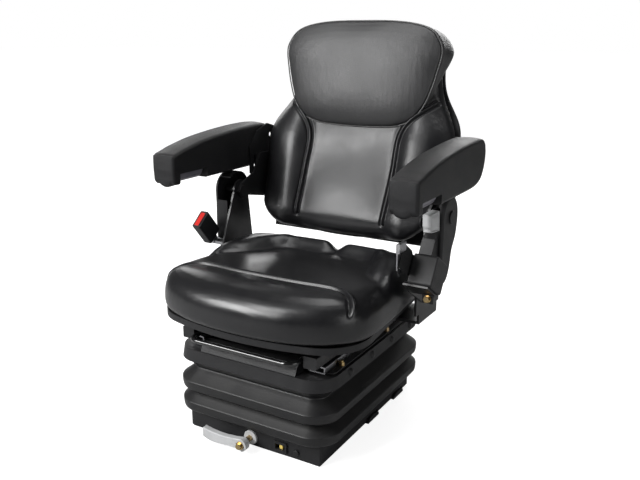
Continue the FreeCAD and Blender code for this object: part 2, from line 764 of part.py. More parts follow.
def towel_bar():
    """Bent tube across the front that lifts to free the slide."""
    end = bar_half_width
    bend = bar_bend
    corner = bend * (1 - math.sqrt(0.5))
    start = Vector(end, bar_pivot_y, bar_z)
    side_end = Vector(end, bar_front + bend, bar_z)
    front_start = Vector(end - bend, bar_front, bar_z)
    path = [Part.makeLine(start, side_end),
            Part.Arc(side_end, Vector(end - corner, bar_front + corner, bar_z), front_start).toShape(),
            Part.makeLine(front_start, Vector(-end + bend, bar_front, bar_z)),
            Part.Arc(Vector(-end + bend, bar_front, bar_z), Vector(-end + corner, bar_front + corner, bar_z),
                     Vector(-end, bar_front + bend, bar_z)).toShape(),
            Part.makeLine(Vector(-end, bar_front + bend, bar_z), Vector(-end, bar_pivot_y, bar_z))]
    section = Part.Wire(Part.Circle(start, Vector(0, 1, 0), bar_radius).toShape())
    bar = Part.Wire(path).makePipeShell([section], True, False)
    rail_inner = rail_x - upper_rail_width / 2
    stub = rod((end - bar_radius * 0.6, bar_pivot_y, bar_z), (1, 0, 0),
               rail_inner + rail_wall - end + bar_radius * 0.6 - face_gap, bar_radius)
    knuckle = Part.makeSphere(bar_radius, start)
    return fuse(bar, stub, knuckle, mirrored(stub), mirrored(knuckle))


# Seat pan and cushion

def seat_outline(inset, z, rear=pan_rear):
    """Plan outline of the seat: bowed front, round corners, sides that close in to the rear."""
    bow = Vector(0, pan_front + pan_bow_radius, z)
    corner_x = pan_half_width - pan_front_corner
    drop = math.sqrt((pan_bow_radius - pan_front_corner) ** 2 - corner_x ** 2)
    front = Vector(corner_x, bow.y - drop, z)
    back = Vector(pan_rear_half_width - pan_rear_corner, rear - pan_rear_corner, z)
    lean = math.atan2(back.y - front.y, back.x - front.x) - math.pi / 2
    side = lean + math.asin((pan_front_corner - pan_rear_corner) / back.distanceToPoint(front))
    turn = math.atan2(front.y - bow.y, front.x)
    corners = [(bow, pan_bow_radius, -math.pi - turn, turn), (front, pan_front_corner, turn, side),
               (back, pan_rear_corner, side, math.pi / 2),
               (Vector(-back.x, back.y, z), pan_rear_corner, math.pi / 2, math.pi - side),
               (Vector(-front.x, front.y, z), pan_front_corner, math.pi - side, math.pi - turn)]
    arcs = [Part.Arc(Part.Circle(centre, Vector(0, 0, 1), radius - inset), start, end).toShape()
            for centre, radius, start, end in corners]
    edges = arcs[:2]
    for arc in arcs[2:]:
        before = edges[-1]
        edges += [Part.makeLine(before.valueAt(before.LastParameter), arc.valueAt(arc.FirstParameter)), arc]
    return Part.Wire(edges)


def seat_pan():
    """Pressed pan: sloping sides up to an upright rim."""
    lower = loft([seat_outline(52, pan_bottom), seat_outline(6, pan_rim_bottom)], ruled=True)
    rim = Part.Face(seat_outline(0, pan_rim_bottom)).extrude(Vector(0, 0, pan_rim_top - pan_rim_bottom))
    outer = lower.fuse(rim)
    inner_lower = loft([seat_outline(52 + pan_wall, pan_bottom + pan_wall),
                        seat_outline(6 + pan_wall, pan_rim_bottom + 0.5)], ruled=True)
    inner_rim = Part.Face(seat_outline(pan_wall, pan_rim_bottom + 0.5)).extrude(
        Vector(0, 0, pan_rim_top - pan_rim_bottom))
    pan = outer.cut(inner_lower.fuse(inner_rim))
    holes = [rod((0, y, pan_bottom - 1), (0, 0, 1), pan_wall + 3, 28) for y in (-80, 20, 110)]
    return pan.cut(holes)


def seat_cushion():
    """Seat foam: a sunk panel that slopes back, a front roll, side bolsters and a notched rear ridge."""
    low = pan_rim_top + face_gap
    pad = Part.Face(seat_outline(-cushion_overhang, low, cushion_rear)).extrude(Vector(0, 0, cushion_top - low))
    pad = filleted(pad, cushion_roll, lambda edge: edge.CenterOfMass.z > cushion_top - 0.1)
    pad = filleted(pad, cushion_overhang, lambda edge: edge.CenterOfMass.z < low + 0.1)
    well = loft([panel_outline(0, 0.0), panel_outline(bolster_slope, bolster_slope)], ruled=True)
    well.rotate(Vector(0, panel_front, 0), Vector(1, 0, 0), -panel_tilt)
    well.translate(Vector(0, 0, cushion_top - panel_depth))
    crest = cushion_top + 20
    rear_slope = side_profile([(panel_rear, crest), (panel_rear + 14, cushion_top - 4),
                               (cushion_rear + 30, cushion_top - 14), (cushion_rear + 30, crest)], (-300, 300))
    notch_wide = notch_half_width * (notch_depth + 20) / notch_depth
    notch = Part.Face(Part.makePolygon([Vector(0, panel_rear - 10, cushion_top - notch_depth),
                                        Vector(notch_wide, panel_rear - 10, crest),
                                        Vector(-notch_wide, panel_rear - 10, crest),
                                        Vector(0, panel_rear - 10, cushion_top - notch_depth)]))
    return pad.cut([well, rear_slope, notch.extrude(Vector(0, 110, 0))])


def panel_outline(grow, z):
    """Plan of the sunk panel, grown on every side."""
    points = [Vector(-panel_front_half - grow, panel_front - grow / 4, z),
              Vector(panel_front_half + grow, panel_front - grow / 4, z),
              Vector(panel_rear_half + grow, panel_rear + grow / 2, z),
              Vector(-panel_rear_half - grow, panel_rear + grow / 2, z)]
    return Part.makePolygon(points + points[:1])


# Backrest

def back_line(z):
    """Front face of the back foam between its bolsters, leaning back more at the bottom."""
    low_z, mid_z, high_z = 400.0, 591.0, 771.0
    low_y, mid_y, high_y = 153.5, 230.0, 258.0
    low_part = (z - mid_z) * (z - high_z) / ((low_z - mid_z) * (low_z - high_z))
    mid_part = (z - low_z) * (z - high_z) / ((mid_z - low_z) * (mid_z - high_z))
    high_part = (z - low_z) * (z - mid_z) / ((high_z - low_z) * (high_z - mid_z))
    return low_y * low_part + mid_y * mid_part + high_y * high_part


back_widths = [(350.0, 203.0), (400.0, 214.0), (470.0, 226.0), (540.0, 235.0), (590.0, 234.0),
               (625.0, 216.0), (665.0, 190.0), (720.0, 180.0), (765.0, 172.0)]


def back_front(z):
    """Front of the back foam's bolsters, which fade out under the head pad."""
    fade = min(max((z - 560.0) / 110.0, 0.0), 1.0)
    fade = fade * fade * (3 - 2 * fade)
    return back_line(z) - back_bolster * (1 - 0.8 * fade)


def back_rear(z):
    """Rear of the back foam, which thins towards the top."""
    share = (z - back_widths[0][0]) / (back_widths[-1][0] - back_widths[0][0])
    return back_front(z) + back_foam_low + (back_foam_high - back_foam_low) * share


def back_section(z, half_width, front, rear, corner):
    return rounded_wire(2 * half_width, rear - front, corner, z, (front + rear) / 2)


def back_cushion():
    """Back foam, widest at the shoulders and narrow where the head pad slips over it."""
    wires = []
    for z, half_width in back_widths:
        wires.append(back_section(z, half_width, back_front(z), back_rear(z), 24))
    return loft(wires)


def back_frame():
    """Moulded back shell with steel sides behind the foam, and ears at the recline pivot."""
    wires = []
    for z, half_width in back_widths:
        front = back_rear(z) + face_gap
        wires.append(back_section(z, half_width - 4, front, front + shell_thickness, 3))
    shell = loft(wires)
    rear_line = [(back_rear(z) + shell_thickness, z) for z in (410.0, 465.0, 520.0)]
    front_line = [(back_rear(z) + face_gap, z) for z in (520.0, 465.0, 410.0)]
    hub = pivot_radius + 9
    ear = side_profile([(recline_y - hub, recline_z), (recline_y, recline_z - hub), (recline_y + hub, recline_z - 14)]
                       + rear_line + [(182, 524), (152, 480), (recline_y, recline_z + hub)],
                       (ear_x, ear_x + ear_thickness), arcs=(4,))
    web = side_profile(rear_line + front_line, (ear_x - 40, ear_x + ear_thickness), arcs=(1, 4))
    hole = rod((ear_x - 1, recline_y, recline_z), (1, 0, 0), ear_thickness + 2, pivot_radius + fit_gap)
    return fuse(shell, ear, web, mirrored(ear), mirrored(web)).cut([hole, mirrored(hole)])


def head_outline(y, inset=0.0):
    """Front view outline of the head pad."""
    wide = head_half_width - inset
    top = head_top - inset
    low = head_bottom + inset
    tall = top - low
    shape = [(0.0, 1.0), (0.70, 0.96), (0.93, 0.855), (1.0, 0.735), (0.965, 0.585), (0.915, 0.39),
             (0.84, 0.225), (0.70, 0.09), (0.45, 0.02), (0.0, 0.0)]
    right = [Vector(wide * across, y, low + tall * up) for across, up in shape]
    left = [Vector(-point.x, y, point.z) for point in reversed(right[1:-1])]
    return smooth_loop(right + left)


def head_pad():
    """Slip-over head pad: a padded front and a gusset that hoods the backrest's top."""
    pad = loft([head_outline(0, 14), head_outline(9, 3), head_outline(26, 0),
                head_outline(head_thickness - 16, 4), head_outline(head_thickness, 22)])
    pad.rotate(Vector(0, 0, head_bottom), Vector(1, 0, 0), -head_tilt)
    pad.translate(Vector(0, head_y, 0))
    wires = []
    for z, half_width in back_widths[3:]:
        wires.append(back_section(z, half_width + 1, back_front(z) - face_gap, back_rear(z) + 60, 24))
    pocket = loft(wires)
    return pad.cut(pocket)


# Side plates, covers and recline lever

def side_plate():
    """Steel bracket from the pan up to the recline pivot."""
    x = (side_plate_x, side_plate_x + side_plate_thickness)
    plate = side_profile([(30, pan_rim_bottom), (150, pan_rim_bottom), (150, 300), (132, recline_z),
                          (recline_y, recline_z + 26), (recline_y - 26, recline_z), (36, 340), (30, 300)],
                         x, arcs=(4,))
    rail_side = rail_x + upper_rail_width / 2
    flange = block((rail_side + face_gap, side_plate_x + 1), (45, 140), (pan_bottom - 6, pan_bottom - face_gap))
    web = block((side_plate_x, side_plate_x + side_plate_thickness), (45, 140), (pan_bottom - 6, pan_rim_bottom))
    plate = fuse(plate, web, flange)
    return plate.cut(rod((x[0] - 1, recline_y, recline_z), (1, 0, 0), 10, pivot_radius + fit_gap))


def pivot_bolts():
    """Shouldered recline bolts with their round caps."""
    start = ear_x - 3
    shank = rod((start, recline_y, recline_z), (1, 0, 0), cover_outer_x + 1 - start, pivot_radius)
    head = rod((start, recline_y, recline_z), (1, 0, 0), 3 - face_gap, pivot_radius + 4)
    cap = rod((cover_outer_x + face_gap, recline_y, recline_z), (1, 0, 0), 3, cap_radius)
    cap = filleted(cap, 1.5, lambda edge: edge.CenterOfMass.x > cover_outer_x + 3)
    return both_sides(fuse(shank, head, cap))


def cover_outline(x, inset):
    """Side view outline of the recline cover, drawn in the plane at x."""
    shape = [(62, 330), (59, 375), (60, 430), (64, 466), (81, 484), (106, 489), (130, 480), (144, 456),
             (144, 425), (136, 396), (120, 372), (110, 345), (99, 320), (82, 308), (68, 313)]
    middle_y = sum(point[0] for point in shape) / len(shape)
    middle_z = sum(point[1] for point in shape) / len(shape)
    points = []
    for y, z in shape:
        length = math.hypot(y - middle_y, z - middle_z)
        share = (length - inset) / length
        points.append(Vector(x, middle_y + (y - middle_y) * share, middle_z + (z - middle_z) * share))
    return smooth_loop(points)


def side_cover():
    """Moulded cover over the recline fitting, open behind the lever."""
    crown = 7.0
    edge_x = cover_outer_x - crown
    skirt = Part.Face(cover_outline(cover_inner_x, 0)).extrude(Vector(edge_x - cover_inner_x, 0, 0))
    dome = loft([cover_outline(edge_x, 0), cover_outline(cover_outer_x - 2, 2.5), cover_outline(cover_outer_x, 8)])
    cavity = Part.Face(cover_outline(cover_inner_x - 1, cover_shell)).extrude(
        Vector(edge_x - cover_inner_x + 1, 0, 0))
    cavity_dome = loft([cover_outline(edge_x, cover_shell), cover_outline(cover_outer_x - cover_shell, 10)])
    cover = skirt.fuse(dome).cut([cavity, cavity_dome])
    bore = rod((cover_inner_x, recline_y, recline_z), (1, 0, 0), 60, pivot_radius + face_gap)
    slot = block((cover_inner_x - 1, cover_outer_x - 8), (40, 75), (426, 482))
    return cover.cut([bore, slot])


def cover_lobe():
    """Hollow lobe on the lever side that fills the room between the cover and the reel."""
    outer = side_profile([(25, 384), (43, 411), (64, 424), (66, 360), (52, 364), (31, 377)],
                         (cover_inner_x, cover_outer_x - 8))
    inner = side_profile([(28.5, 384), (45, 408), (70, 423), (70, 362), (52.5, 367), (32, 379.5)],
                         (cover_inner_x - 1, cover_outer_x - 8 - cover_shell))
    return outer.cut(inner)


def recline_lever():
    """Lever on the recline pivot with a plastic grip ahead of the cover."""
    x = (side_plate_x + side_plate_thickness + 3, side_plate_x + side_plate_thickness + 8)
    blade = side_profile([(recline_y, recline_z - 16), (30, 436), (30, 458), (recline_y, recline_z + 16),
                          (recline_y + 16, recline_z)], x, arcs=(4,))
    grip = side_profile([(6, 432), (50, 428), (46, 470), (2, 468)], (x[0], x[0] + lever_grip_width))
    grip = filleted(grip, 4.0, lambda edge: True)
    bore = rod((x[0] - 1, recline_y, recline_z), (1, 0, 0), 10, pivot_radius + fit_gap)
    return fuse(blade, grip).cut(bore)


# Armrests

def armrest():
    """Padded arm: crowned top, round nose, deep rear end and a hollow for the tilt roller."""
    shape = [(-110, 491), (-121, 497), (-126, 528), (-121, 558), (-108, 569), (-20, 589), (80, 597), (180, 595),
             (223, 584), (234, 560), (226, 536), (206, 517), (165, 499), (65, 493), (-30, 493)]
    outline = smooth_loop([Vector(arm_inner_x, y, z) for y, z in shape])
    body = Part.Face(outline).extrude(Vector(arm_width, 0, 0))
    body = filleted(body, arm_edge_radius, lambda edge: edge.CenterOfMass.x < arm_inner_x + 0.1
                    or edge.CenterOfMass.x > arm_outer_x - 0.1)
    half = tilt_roller_length / 2 + 1
    pocket = rod((arm_middle_x, tilt_roller_y - half, tilt_roller_z), (0, 1, 0), 2 * half,
                 tilt_roller_radius + 1)
    windows = block((arm_inner_x - 1, arm_outer_x + 1), (tilt_roller_y - half, tilt_roller_y + half + 4),
                    (480, tilt_slot_top))
    axle = rod((arm_middle_x, tilt_roller_y - half - 10, tilt_roller_z), (0, 1, 0), 2 * half + 20,
               tilt_axle_radius + fit_gap)
    bore = rod((arm_inner_x - 1, arm_hinge_y, arm_hinge_z), (1, 0, 0), 31, hinge_pin_radius + fit_gap)
    relief = rod((arm_inner_x - 1, recline_y, recline_z), (1, 0, 0), cover_outer_x + 3 * swing_gap - arm_inner_x,
                 cover_reach + swing_gap)
    return body.cut([pocket, windows, axle, bore, relief])


def tilt_roller():
    """Ribbed barrel under the armrest that sets its slope."""
    half = tilt_roller_length / 2
    barrel = rod((arm_middle_x, tilt_roller_y - half, tilt_roller_z), (0, 1, 0), 2 * half, tilt_roller_radius)
    barrel = filleted(barrel, 3.0, lambda edge: edge.Curve.TypeId == "Part::GeomCircle")
    axle = rod((arm_middle_x, tilt_roller_y - half - 10, tilt_roller_z), (0, 1, 0), 2 * half + 20,
               tilt_axle_radius)
    roller = fuse(barrel, axle)
    grooves = []
    groove_count = 12
    for index in range(groove_count):
        turn = math.radians(360 * index / groove_count)
        grooves.append(rod((arm_middle_x + (tilt_roller_radius + 0.6) * math.cos(turn), tilt_roller_y - half - 1,
                            tilt_roller_z + (tilt_roller_radius + 0.6) * math.sin(turn)), (0, 1, 0),
                           2 * half + 2, 1.8))
    return roller.cut(grooves)


def armrest_bracket():
    """Slotted steel plate on the backrest's side, with the armrest's hinge pin."""
    inner = side_plate_x
    outer = inner + bracket_thickness
    plate = side_profile([(146, 478), (172, 462), (240, 500), (262, 552), (248, 582), (220, 590),
                          (176, 576), (146, 540)], (inner, outer))
    slots = [block((inner - 1, outer + 1), (160, 168), (492, 520)),
             rod((inner - 1, 232, 562), (1, 0, 0), bracket_thickness + 2, 6)]
    pin = rod((inner, arm_hinge_y, arm_hinge_z), (1, 0, 0), arm_inner_x + 30 - inner, hinge_pin_radius)
    boss = rod((inner, arm_hinge_y, arm_hinge_z), (1, 0, 0), arm_inner_x - face_gap - inner, hinge_pin_radius + 8)
    return fuse(plate.cut(slots), pin, boss)


# Belt buckle and reel

def buckle_place(shape):
    """Tilt a shape drawn at the origin with its press face up, and set it on the buckle's spot."""
    shape.rotate(Vector(0, 0, 0), Vector(1, 0, 0), buckle_tilt)
    shape.translate(Vector(buckle_x, buckle_face_y, buckle_face_z))
    return shape


def buckle_body():
    half_t, half_w = buckle_thickness / 2, buckle_width / 2
    body = block((-half_t, half_t), (-half_w, half_w), (-buckle_length, 0))
    body = filleted(body, 3.0, lambda edge: runs_along(edge, 2))
    recess = block((-half_t + 3, half_t - 6), (-half_w + 4, half_w - 4), (-12, 1))
    tongue_slot = block((half_t - 5, half_t - 2.5), (-half_w + 7, half_w - 7), (-30, 1))
    stalk_slot = block((-2.5, 2.5), (-9, 9), (-buckle_length - 1, -buckle_length + 14))
    return buckle_place(body.cut([recess, tongue_slot, stalk_slot]))


def buckle_button():
    half_t, half_w = buckle_thickness / 2, buckle_width / 2
    button = block((-half_t + 3 + face_gap, half_t - 6 - face_gap),
                   (-half_w + 4 + face_gap, half_w - 4 - face_gap), (-12 + button_travel + face_gap, 0.6))
    return buckle_place(filleted(button, 1.2, lambda edge: edge.CenterOfMass.z > 0.5))


def buckle_stalk():
    """Flat steel strap from the seat's side up into the buckle."""
    top = block((-2.2, 2.2), (-8.7, 8.7), (-buckle_length - 20, -buckle_length + 13))
    top = buckle_place(top)
    reach = buckle_length + 20
    tilt = math.radians(buckle_tilt)
    y = buckle_face_y + reach * math.sin(tilt)
    z = buckle_face_z - reach * math.cos(tilt)
    inner = side_plate_x + side_plate_thickness + face_gap
    lug = rod((buckle_x - 2.2, y, z), (1, 0, 0), -inner - buckle_x + 2.2, 8)
    head = rod((buckle_x - 7, y, z), (1, 0, 0), 6, 8)
    return fuse(top, lug, head)


def reel_place(shape):
    """Tilt a shape drawn behind and below the origin, and set it at the reel's top front edge."""
    shape.rotate(Vector(0, 0, 0), Vector(1, 0, 0), -reel_tilt)
    shape.translate(Vector(reel_inner_x, reel_top_y, reel_top_z))
    return shape


def belt_reel():
    """Closed retractor housing, tilted with its bottom edge forward."""
    body = block((0, reel_width), (0, reel_depth), (-reel_height, 0))
    body = filleted(body, 6.0, lambda edge: runs_along(edge, 0))
    body = filleted(body, 2.5, lambda edge: edge.CenterOfMass.x > reel_width - 0.1)
    mouth = block((-1, 3), (3.5, 7), (-48, -2))
    return reel_place(body.cut(mouth))


def reel_bracket():
    """Angle plate under the reel, bolted to the seat's side plate."""
    plate = block((-9, reel_width - 6), (2, reel_depth - 4), (-reel_height - 4, -reel_height - face_gap))
    plate = reel_place(plate)
    inner = side_plate_x + side_plate_thickness + face_gap
    arm = side_profile([(-40, 344), (-20, 318), (62, 268), (72, 290), (20, 330)], (inner, inner + 4))
    tab = block((bolt_x - 12, bolt_x + 12), (bolt_y, bolt_y + 4), (bolt_z - 10, bolt_z + 8))
    hole = rod((bolt_x, bolt_y - 1, bolt_z), (0, 1, 0), 6, bolt_radius + fit_gap)
    return fuse(plate, arm, tab).cut(hole)


def reel_bolt():
    """Big flanged bolt at the foot of the reel."""
    flange = rod((bolt_x, bolt_y - 2 - face_gap, bolt_z), (0, 1, 0), 2, bolt_radius + 3)
    corners = [Vector(bolt_x + 6.5 * math.cos(math.radians(60 * i)), bolt_y - 9,
                      bolt_z + 6.5 * math.sin(math.radians(60 * i))) for i in range(7)]
    head = Part.Face(Part.makePolygon(corners)).extrude(Vector(0, 7.5, 0))
    shank = rod((bolt_x, bolt_y - 2, bolt_z), (0, 1, 0), 6, bolt_radius)
    return fuse(flange, head, shank)


def belt_strap(grow):
    """Flat strap beside the reel, in the reel's own place."""
    return reel_place(block((-6 - grow, -4.4 + grow), (-48 - grow, 6), (-46 - grow, 2 + grow)))


def belt_webbing():
    """Strap out of the reel's mouth, lying along its inner side."""
    inlet = reel_place(block((-4.5, 2), (4.4, 6), (-46, -4)))
    return fuse(belt_strap(0), inlet)


def belt_tongue():
    """Latch tongue parked beside the reel: plastic head round the strap's end, and steel blade."""
    x = reel_inner_x - 6
    y = reel_top_y - 44
    head = block((x - 3.2, x + 4), (y - 24, y + 6), (reel_top_z + 13, reel_top_z + 32))
    head = filleted(head, 2.0, lambda edge: runs_along(edge, 1))
    head = head.cut(belt_strap(face_gap))
    blade = side_profile([(y, reel_top_z + 16), (y - 22, reel_top_z + 16), (y - 22, reel_top_z - 20),
                          (y - 14, reel_top_z - 34), (y - 6, reel_top_z - 34), (y, reel_top_z - 20)],
                         (x - 2.8, x - 0.4))
    window = block((x - 4, x + 1), (y - 16, y - 6), (reel_top_z - 18, reel_top_z - 6))
    return fuse(head, blade.cut(window))


def write_parts():
    pieces = {
        "base_frame": base_frame(),
        "base_cover": base_cover(),
        "crank_bush": crank_bush(),
        "window_bezel": window_bezel(),
        "weight_indicator": weight_indicator(),
        "cover_plug": cover_plug(),
        "crank_spindle": crank_spindle(),
        "crank_handle": crank_handle(),
        "crank_screw": crank_screw(),
        "spring_carriage": spring_carriage(),
        "tension_springs": tension_springs(),
        "lower_pivot_pins": pivot_pins(lower_pivot_z, frame_half_width),
        "upper_pivot_pins": pivot_pins(upper_pivot_z, frame_half_width),
        "outer_arm_right": outer_arm(),
        "outer_arm_left": mirrored(outer_arm()),
        "inner_arm_right": inner_arm(),
        "inner_arm_left": mirrored(inner_arm()),
        "scissor_pins": scissor_pins(),
        "upper_roller_shaft": roller_shaft(upper_pivot_z),
        "lower_roller_shaft": roller_shaft(lower_pivot_z),
        "upper_rollers": rollers(upper_pivot_z),
        "lower_rollers": rollers(lower_pivot_z),
        "damper_tube": damper_tube(),
        "damper_rod": damper_rod(),
        "bellows": bellows(),
        "bellows_collar": bellows_collar(),
        "collar_clips": collar_clips(),
        "upper_frame": upper_frame(),
        "lower_rail_right": lower_rail(),
        "lower_rail_left": mirrored(lower_rail()),
        "upper_rail_right": upper_rail(),
        "upper_rail_left": mirrored(upper_rail()),
        "rail_bolts": rail_bolts(),
        "towel_bar": towel_bar(),
        "seat_pan": seat_pan(),
        "seat_cushion": seat_cushion(),
        "side_plate_right": side_plate(),
        "side_plate_left": mirrored(side_plate()),
        "side_cover_right": fuse(side_cover(), cover_lobe()),
        "side_cover_left": mirrored(side_cover()),
        "pivot_bolts": pivot_bolts(),
        "recline_lever": recline_lever(),
        "back_frame": back_frame(),
        "back_cushion": back_cushion(),
        "head_pad": head_pad(),
        "armrest_right": armrest(),
        "armrest_left": mirrored(armrest()),
        "armrest_bracket_right": armrest_bracket(),
        "armrest_bracket_left": mirrored(armrest_bracket()),
        "tilt_roller_right": tilt_roller(),
        "tilt_roller_left": mirrored(tilt_roller()),
        "buckle_body": buckle_body(),
        "buckle_button": buckle_button(),
        "buckle_stalk": buckle_stalk(),
        "belt_reel": belt_reel(),
        "reel_bracket": reel_bracket(),
        "reel_bolt": reel_bolt(),
        "belt_webbing": belt_webbing(),
        "belt_tongue": belt_tongue(),
    }
    os.makedirs("parts", exist_ok=True)
    for name, shape in pieces.items():
        shape.exportStep("parts/" + name + ".step")
        print(name, len(shape.Solids), "solids, valid", shape.isValid(), "volume", round(shape.Volume / 1000, 1))


write_parts()
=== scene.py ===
import math

import bpy
import bmesh
import numpy as np
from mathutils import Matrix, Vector


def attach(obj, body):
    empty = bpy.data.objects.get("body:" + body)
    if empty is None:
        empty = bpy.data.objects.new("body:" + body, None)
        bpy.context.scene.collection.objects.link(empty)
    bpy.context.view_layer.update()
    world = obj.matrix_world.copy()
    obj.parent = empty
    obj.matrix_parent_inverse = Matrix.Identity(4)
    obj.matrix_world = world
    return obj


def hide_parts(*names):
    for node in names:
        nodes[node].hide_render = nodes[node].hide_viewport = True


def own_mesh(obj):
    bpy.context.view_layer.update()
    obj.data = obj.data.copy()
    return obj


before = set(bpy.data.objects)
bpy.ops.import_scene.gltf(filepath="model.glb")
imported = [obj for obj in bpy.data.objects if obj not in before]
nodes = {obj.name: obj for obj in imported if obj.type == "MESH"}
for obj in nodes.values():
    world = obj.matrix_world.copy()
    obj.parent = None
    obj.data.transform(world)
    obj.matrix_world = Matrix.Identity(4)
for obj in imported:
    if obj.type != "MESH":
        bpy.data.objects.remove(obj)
scene = bpy.context.scene
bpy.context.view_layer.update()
print("frame loaded,", len(nodes), "nodes")


# Mesh helpers

def newObject(name, points, faces, smooth=True):
    mesh = bpy.data.meshes.new(name)
    mesh.from_pydata([tuple(p) for p in points], [], faces)
    mesh.validate()
    mesh.update()
    if smooth:
        mesh.polygons.foreach_set("use_smooth", [True] * len(mesh.polygons))
    made = bpy.data.objects.new(name, mesh)
    scene.collection.objects.link(made)
    return made


def outward(piece, weld=1e-6):
    # closed pieces only: every face turned to the outside
    work = bmesh.new()
    work.from_mesh(piece.data)
    if weld:
        bmesh.ops.remove_doubles(work, verts=work.verts, dist=weld)
    bmesh.ops.recalc_face_normals(work, faces=work.faces)
    work.to_mesh(piece.data)
    work.free()
    piece.data.update()
    return piece


def vertexValues(mesh, kind):
    values = np.empty(len(mesh.vertices) * 3, np.float32)
    mesh.vertices.foreach_get(kind, values)
    return values.reshape(-1, 3).astype(float)


def coordinates(piece):
    return vertexValues(piece.data, "co")


def setCoordinates(piece, values):
    piece.data.vertices.foreach_set("co", np.asarray(values, np.float32).ravel())
    piece.data.update()


def vertexNormals(piece):
    return vertexValues(piece.data, "normal")


def pushOut(piece, distance):
    # each point moved along its normal, in mm
    setCoordinates(piece, coordinates(piece) + vertexNormals(piece) * (distance / 1000)[:, None])


def applyModifiers(piece):
    graph = bpy.context.evaluated_depsgraph_get()
    mesh = bpy.data.meshes.new_from_object(piece.evaluated_get(graph))
    piece.modifiers.clear()
    old = piece.data
    piece.data = mesh
    bpy.data.meshes.remove(old)
    piece.data.polygons.foreach_set("use_smooth", [True] * len(piece.data.polygons))
    return piece


def bandFaces(levels, count, closed=False):
    # quads between loops of points laid in order, and from the last loop to the first if closed
    faces = []
    for level in range(levels if closed else levels - 1):
        here, following = level * count, (level + 1) % levels * count
        for i in range(count):
            j = (i + 1) % count
            faces.append((here + i, here + j, following + j, following + i))
    return faces


def ringSurface(name, rings):
    # closed loops of points in mm joined in order, with a fan at both ends
    rings = [[tuple(c / 1000 for c in p) for p in ring] for ring in rings]
    count = len(rings[0])
    points = [p for ring in rings for p in ring]
    faces = bandFaces(len(rings), count)
    for ring, base in ((rings[0], 0), (rings[-1], (len(rings) - 1) * count)):
        centre = sum((Vector(p) for p in ring), Vector()) / count
        points.append(tuple(centre))
        tip = len(points) - 1
        for i in range(count):
            faces.append((base + i, base + (i + 1) % count, tip))
    return outward(newObject(name, points, faces))


def smoothCurve(points, count, closed=False):
    # Catmull-Rom through the points, evenly spaced along its length
    control = [np.array(p, float) for p in points]
    total = len(control)
    spans = total if closed else total - 1
    dense = []
    for span in range(spans):
        if closed:
            a, b, c, d = (control[(span + k) % total] for k in (-1, 0, 1, 2))
        else:
            b, c = control[span], control[span + 1]
            a = control[span - 1] if span > 0 else 2 * b - c
            d = control[span + 2] if span + 2 < total else 2 * c - b
        for step in range(24):
            t = step / 24
            dense.append(0.5 * (2 * b + (c - a) * t + (2 * a - 5 * b + 4 * c - d) * t * t
                                + (3 * b - a - 3 * c + d) * t ** 3))
    if not closed:
        dense.append(control[-1])
    dense = np.array(dense)
    if closed:
        dense = np.vstack([dense, dense[:1]])
    length = np.concatenate([[0], np.cumsum(np.linalg.norm(np.diff(dense, axis=0), axis=1))])
    wanted = np.linspace(0, length[-1], count, endpoint=not closed)
    return np.column_stack([np.interp(wanted, length, dense[:, k]) for k in range(dense.shape[1])])


def smoothStep(low, high, value):
    share = np.clip((np.asarray(value, float) - low) / (high - low), 0, 1)
    return share * share * (3 - 2 * share)


def bell(distance, width):
    return np.exp(-(distance / width) ** 2)


def closedTangents(path):
    # unit direction at each point of a closed path
    run = np.roll(path, -1, axis=0) - np.roll(path, 1, axis=0)
    return run / np.linalg.norm(run, axis=1)[:, None]


def planNormals(plan, middle):
    # unit normals of a closed outline, pointing away from its middle
    tangent = closedTangents(plan)
    normal = np.column_stack([tangent[:, 1], -tangent[:, 0]])
    grown = ((plan + normal - middle) ** 2).sum() - ((plan - middle) ** 2).sum()
    return normal if grown >= 0 else -normal


def distanceTo(path, points):
    # distance from each point to a polyline, and the share of the line where it is nearest
    best = np.full(len(points), 1e9)
    where = np.zeros(len(points))
    for index in range(len(path) - 1):
        a, b = path[index], path[index + 1]
        run = b - a
        t = np.clip(((points - a) @ run) / max(run @ run, 1e-12), 0, 1)
        away = np.linalg.norm(points - a - t[:, None] * run, axis=1)
        nearer = away < best
        best = np.where(nearer, away, best)
        where = np.where(nearer, (index + t) / (len(path) - 1), where)
    return best, where


def refineNear(piece, chosen):
    # one more cut of every edge whose ends the test picks, so that a narrow seam has points to move
    work = bmesh.new()
    work.from_mesh(piece.data)
    work.verts.ensure_lookup_table()
    points = np.array([v.co for v in work.verts])
    keep = chosen(points)
    edges = [e for e in work.edges if keep[e.verts[0].index] and keep[e.verts[1].index]]
    bmesh.ops.subdivide_edges(work, edges=edges, cuts=1, use_grid_fill=True)
    work.to_mesh(piece.data)
    work.free()
    piece.data.polygons.foreach_set("use_smooth", [True] * len(piece.data.polygons))
    piece.data.update()
    return piece


def spread(piece, values, rounds):
    # each point's value averaged with its neighbours', many times over
    pairs = np.empty(len(piece.data.edges) * 2, np.int32)
    piece.data.edges.foreach_get("vertices", pairs)
    first, second = pairs.reshape(-1, 2).T
    total = len(values)
    degree = np.maximum(np.bincount(first, minlength=total) + np.bincount(second, minlength=total), 1)
    for turn in range(rounds):
        around = np.bincount(first, values[second], total) + np.bincount(second, values[first], total)
        values = 0.5 * values + 0.5 * (around / degree)
    return values


foam = {"quality": 4, "mass": 0.4, "stretch": 18, "bending": 3, "frames": 20, "evening": 70}


def nothingHeld(points):
    return np.zeros(len(points), bool)


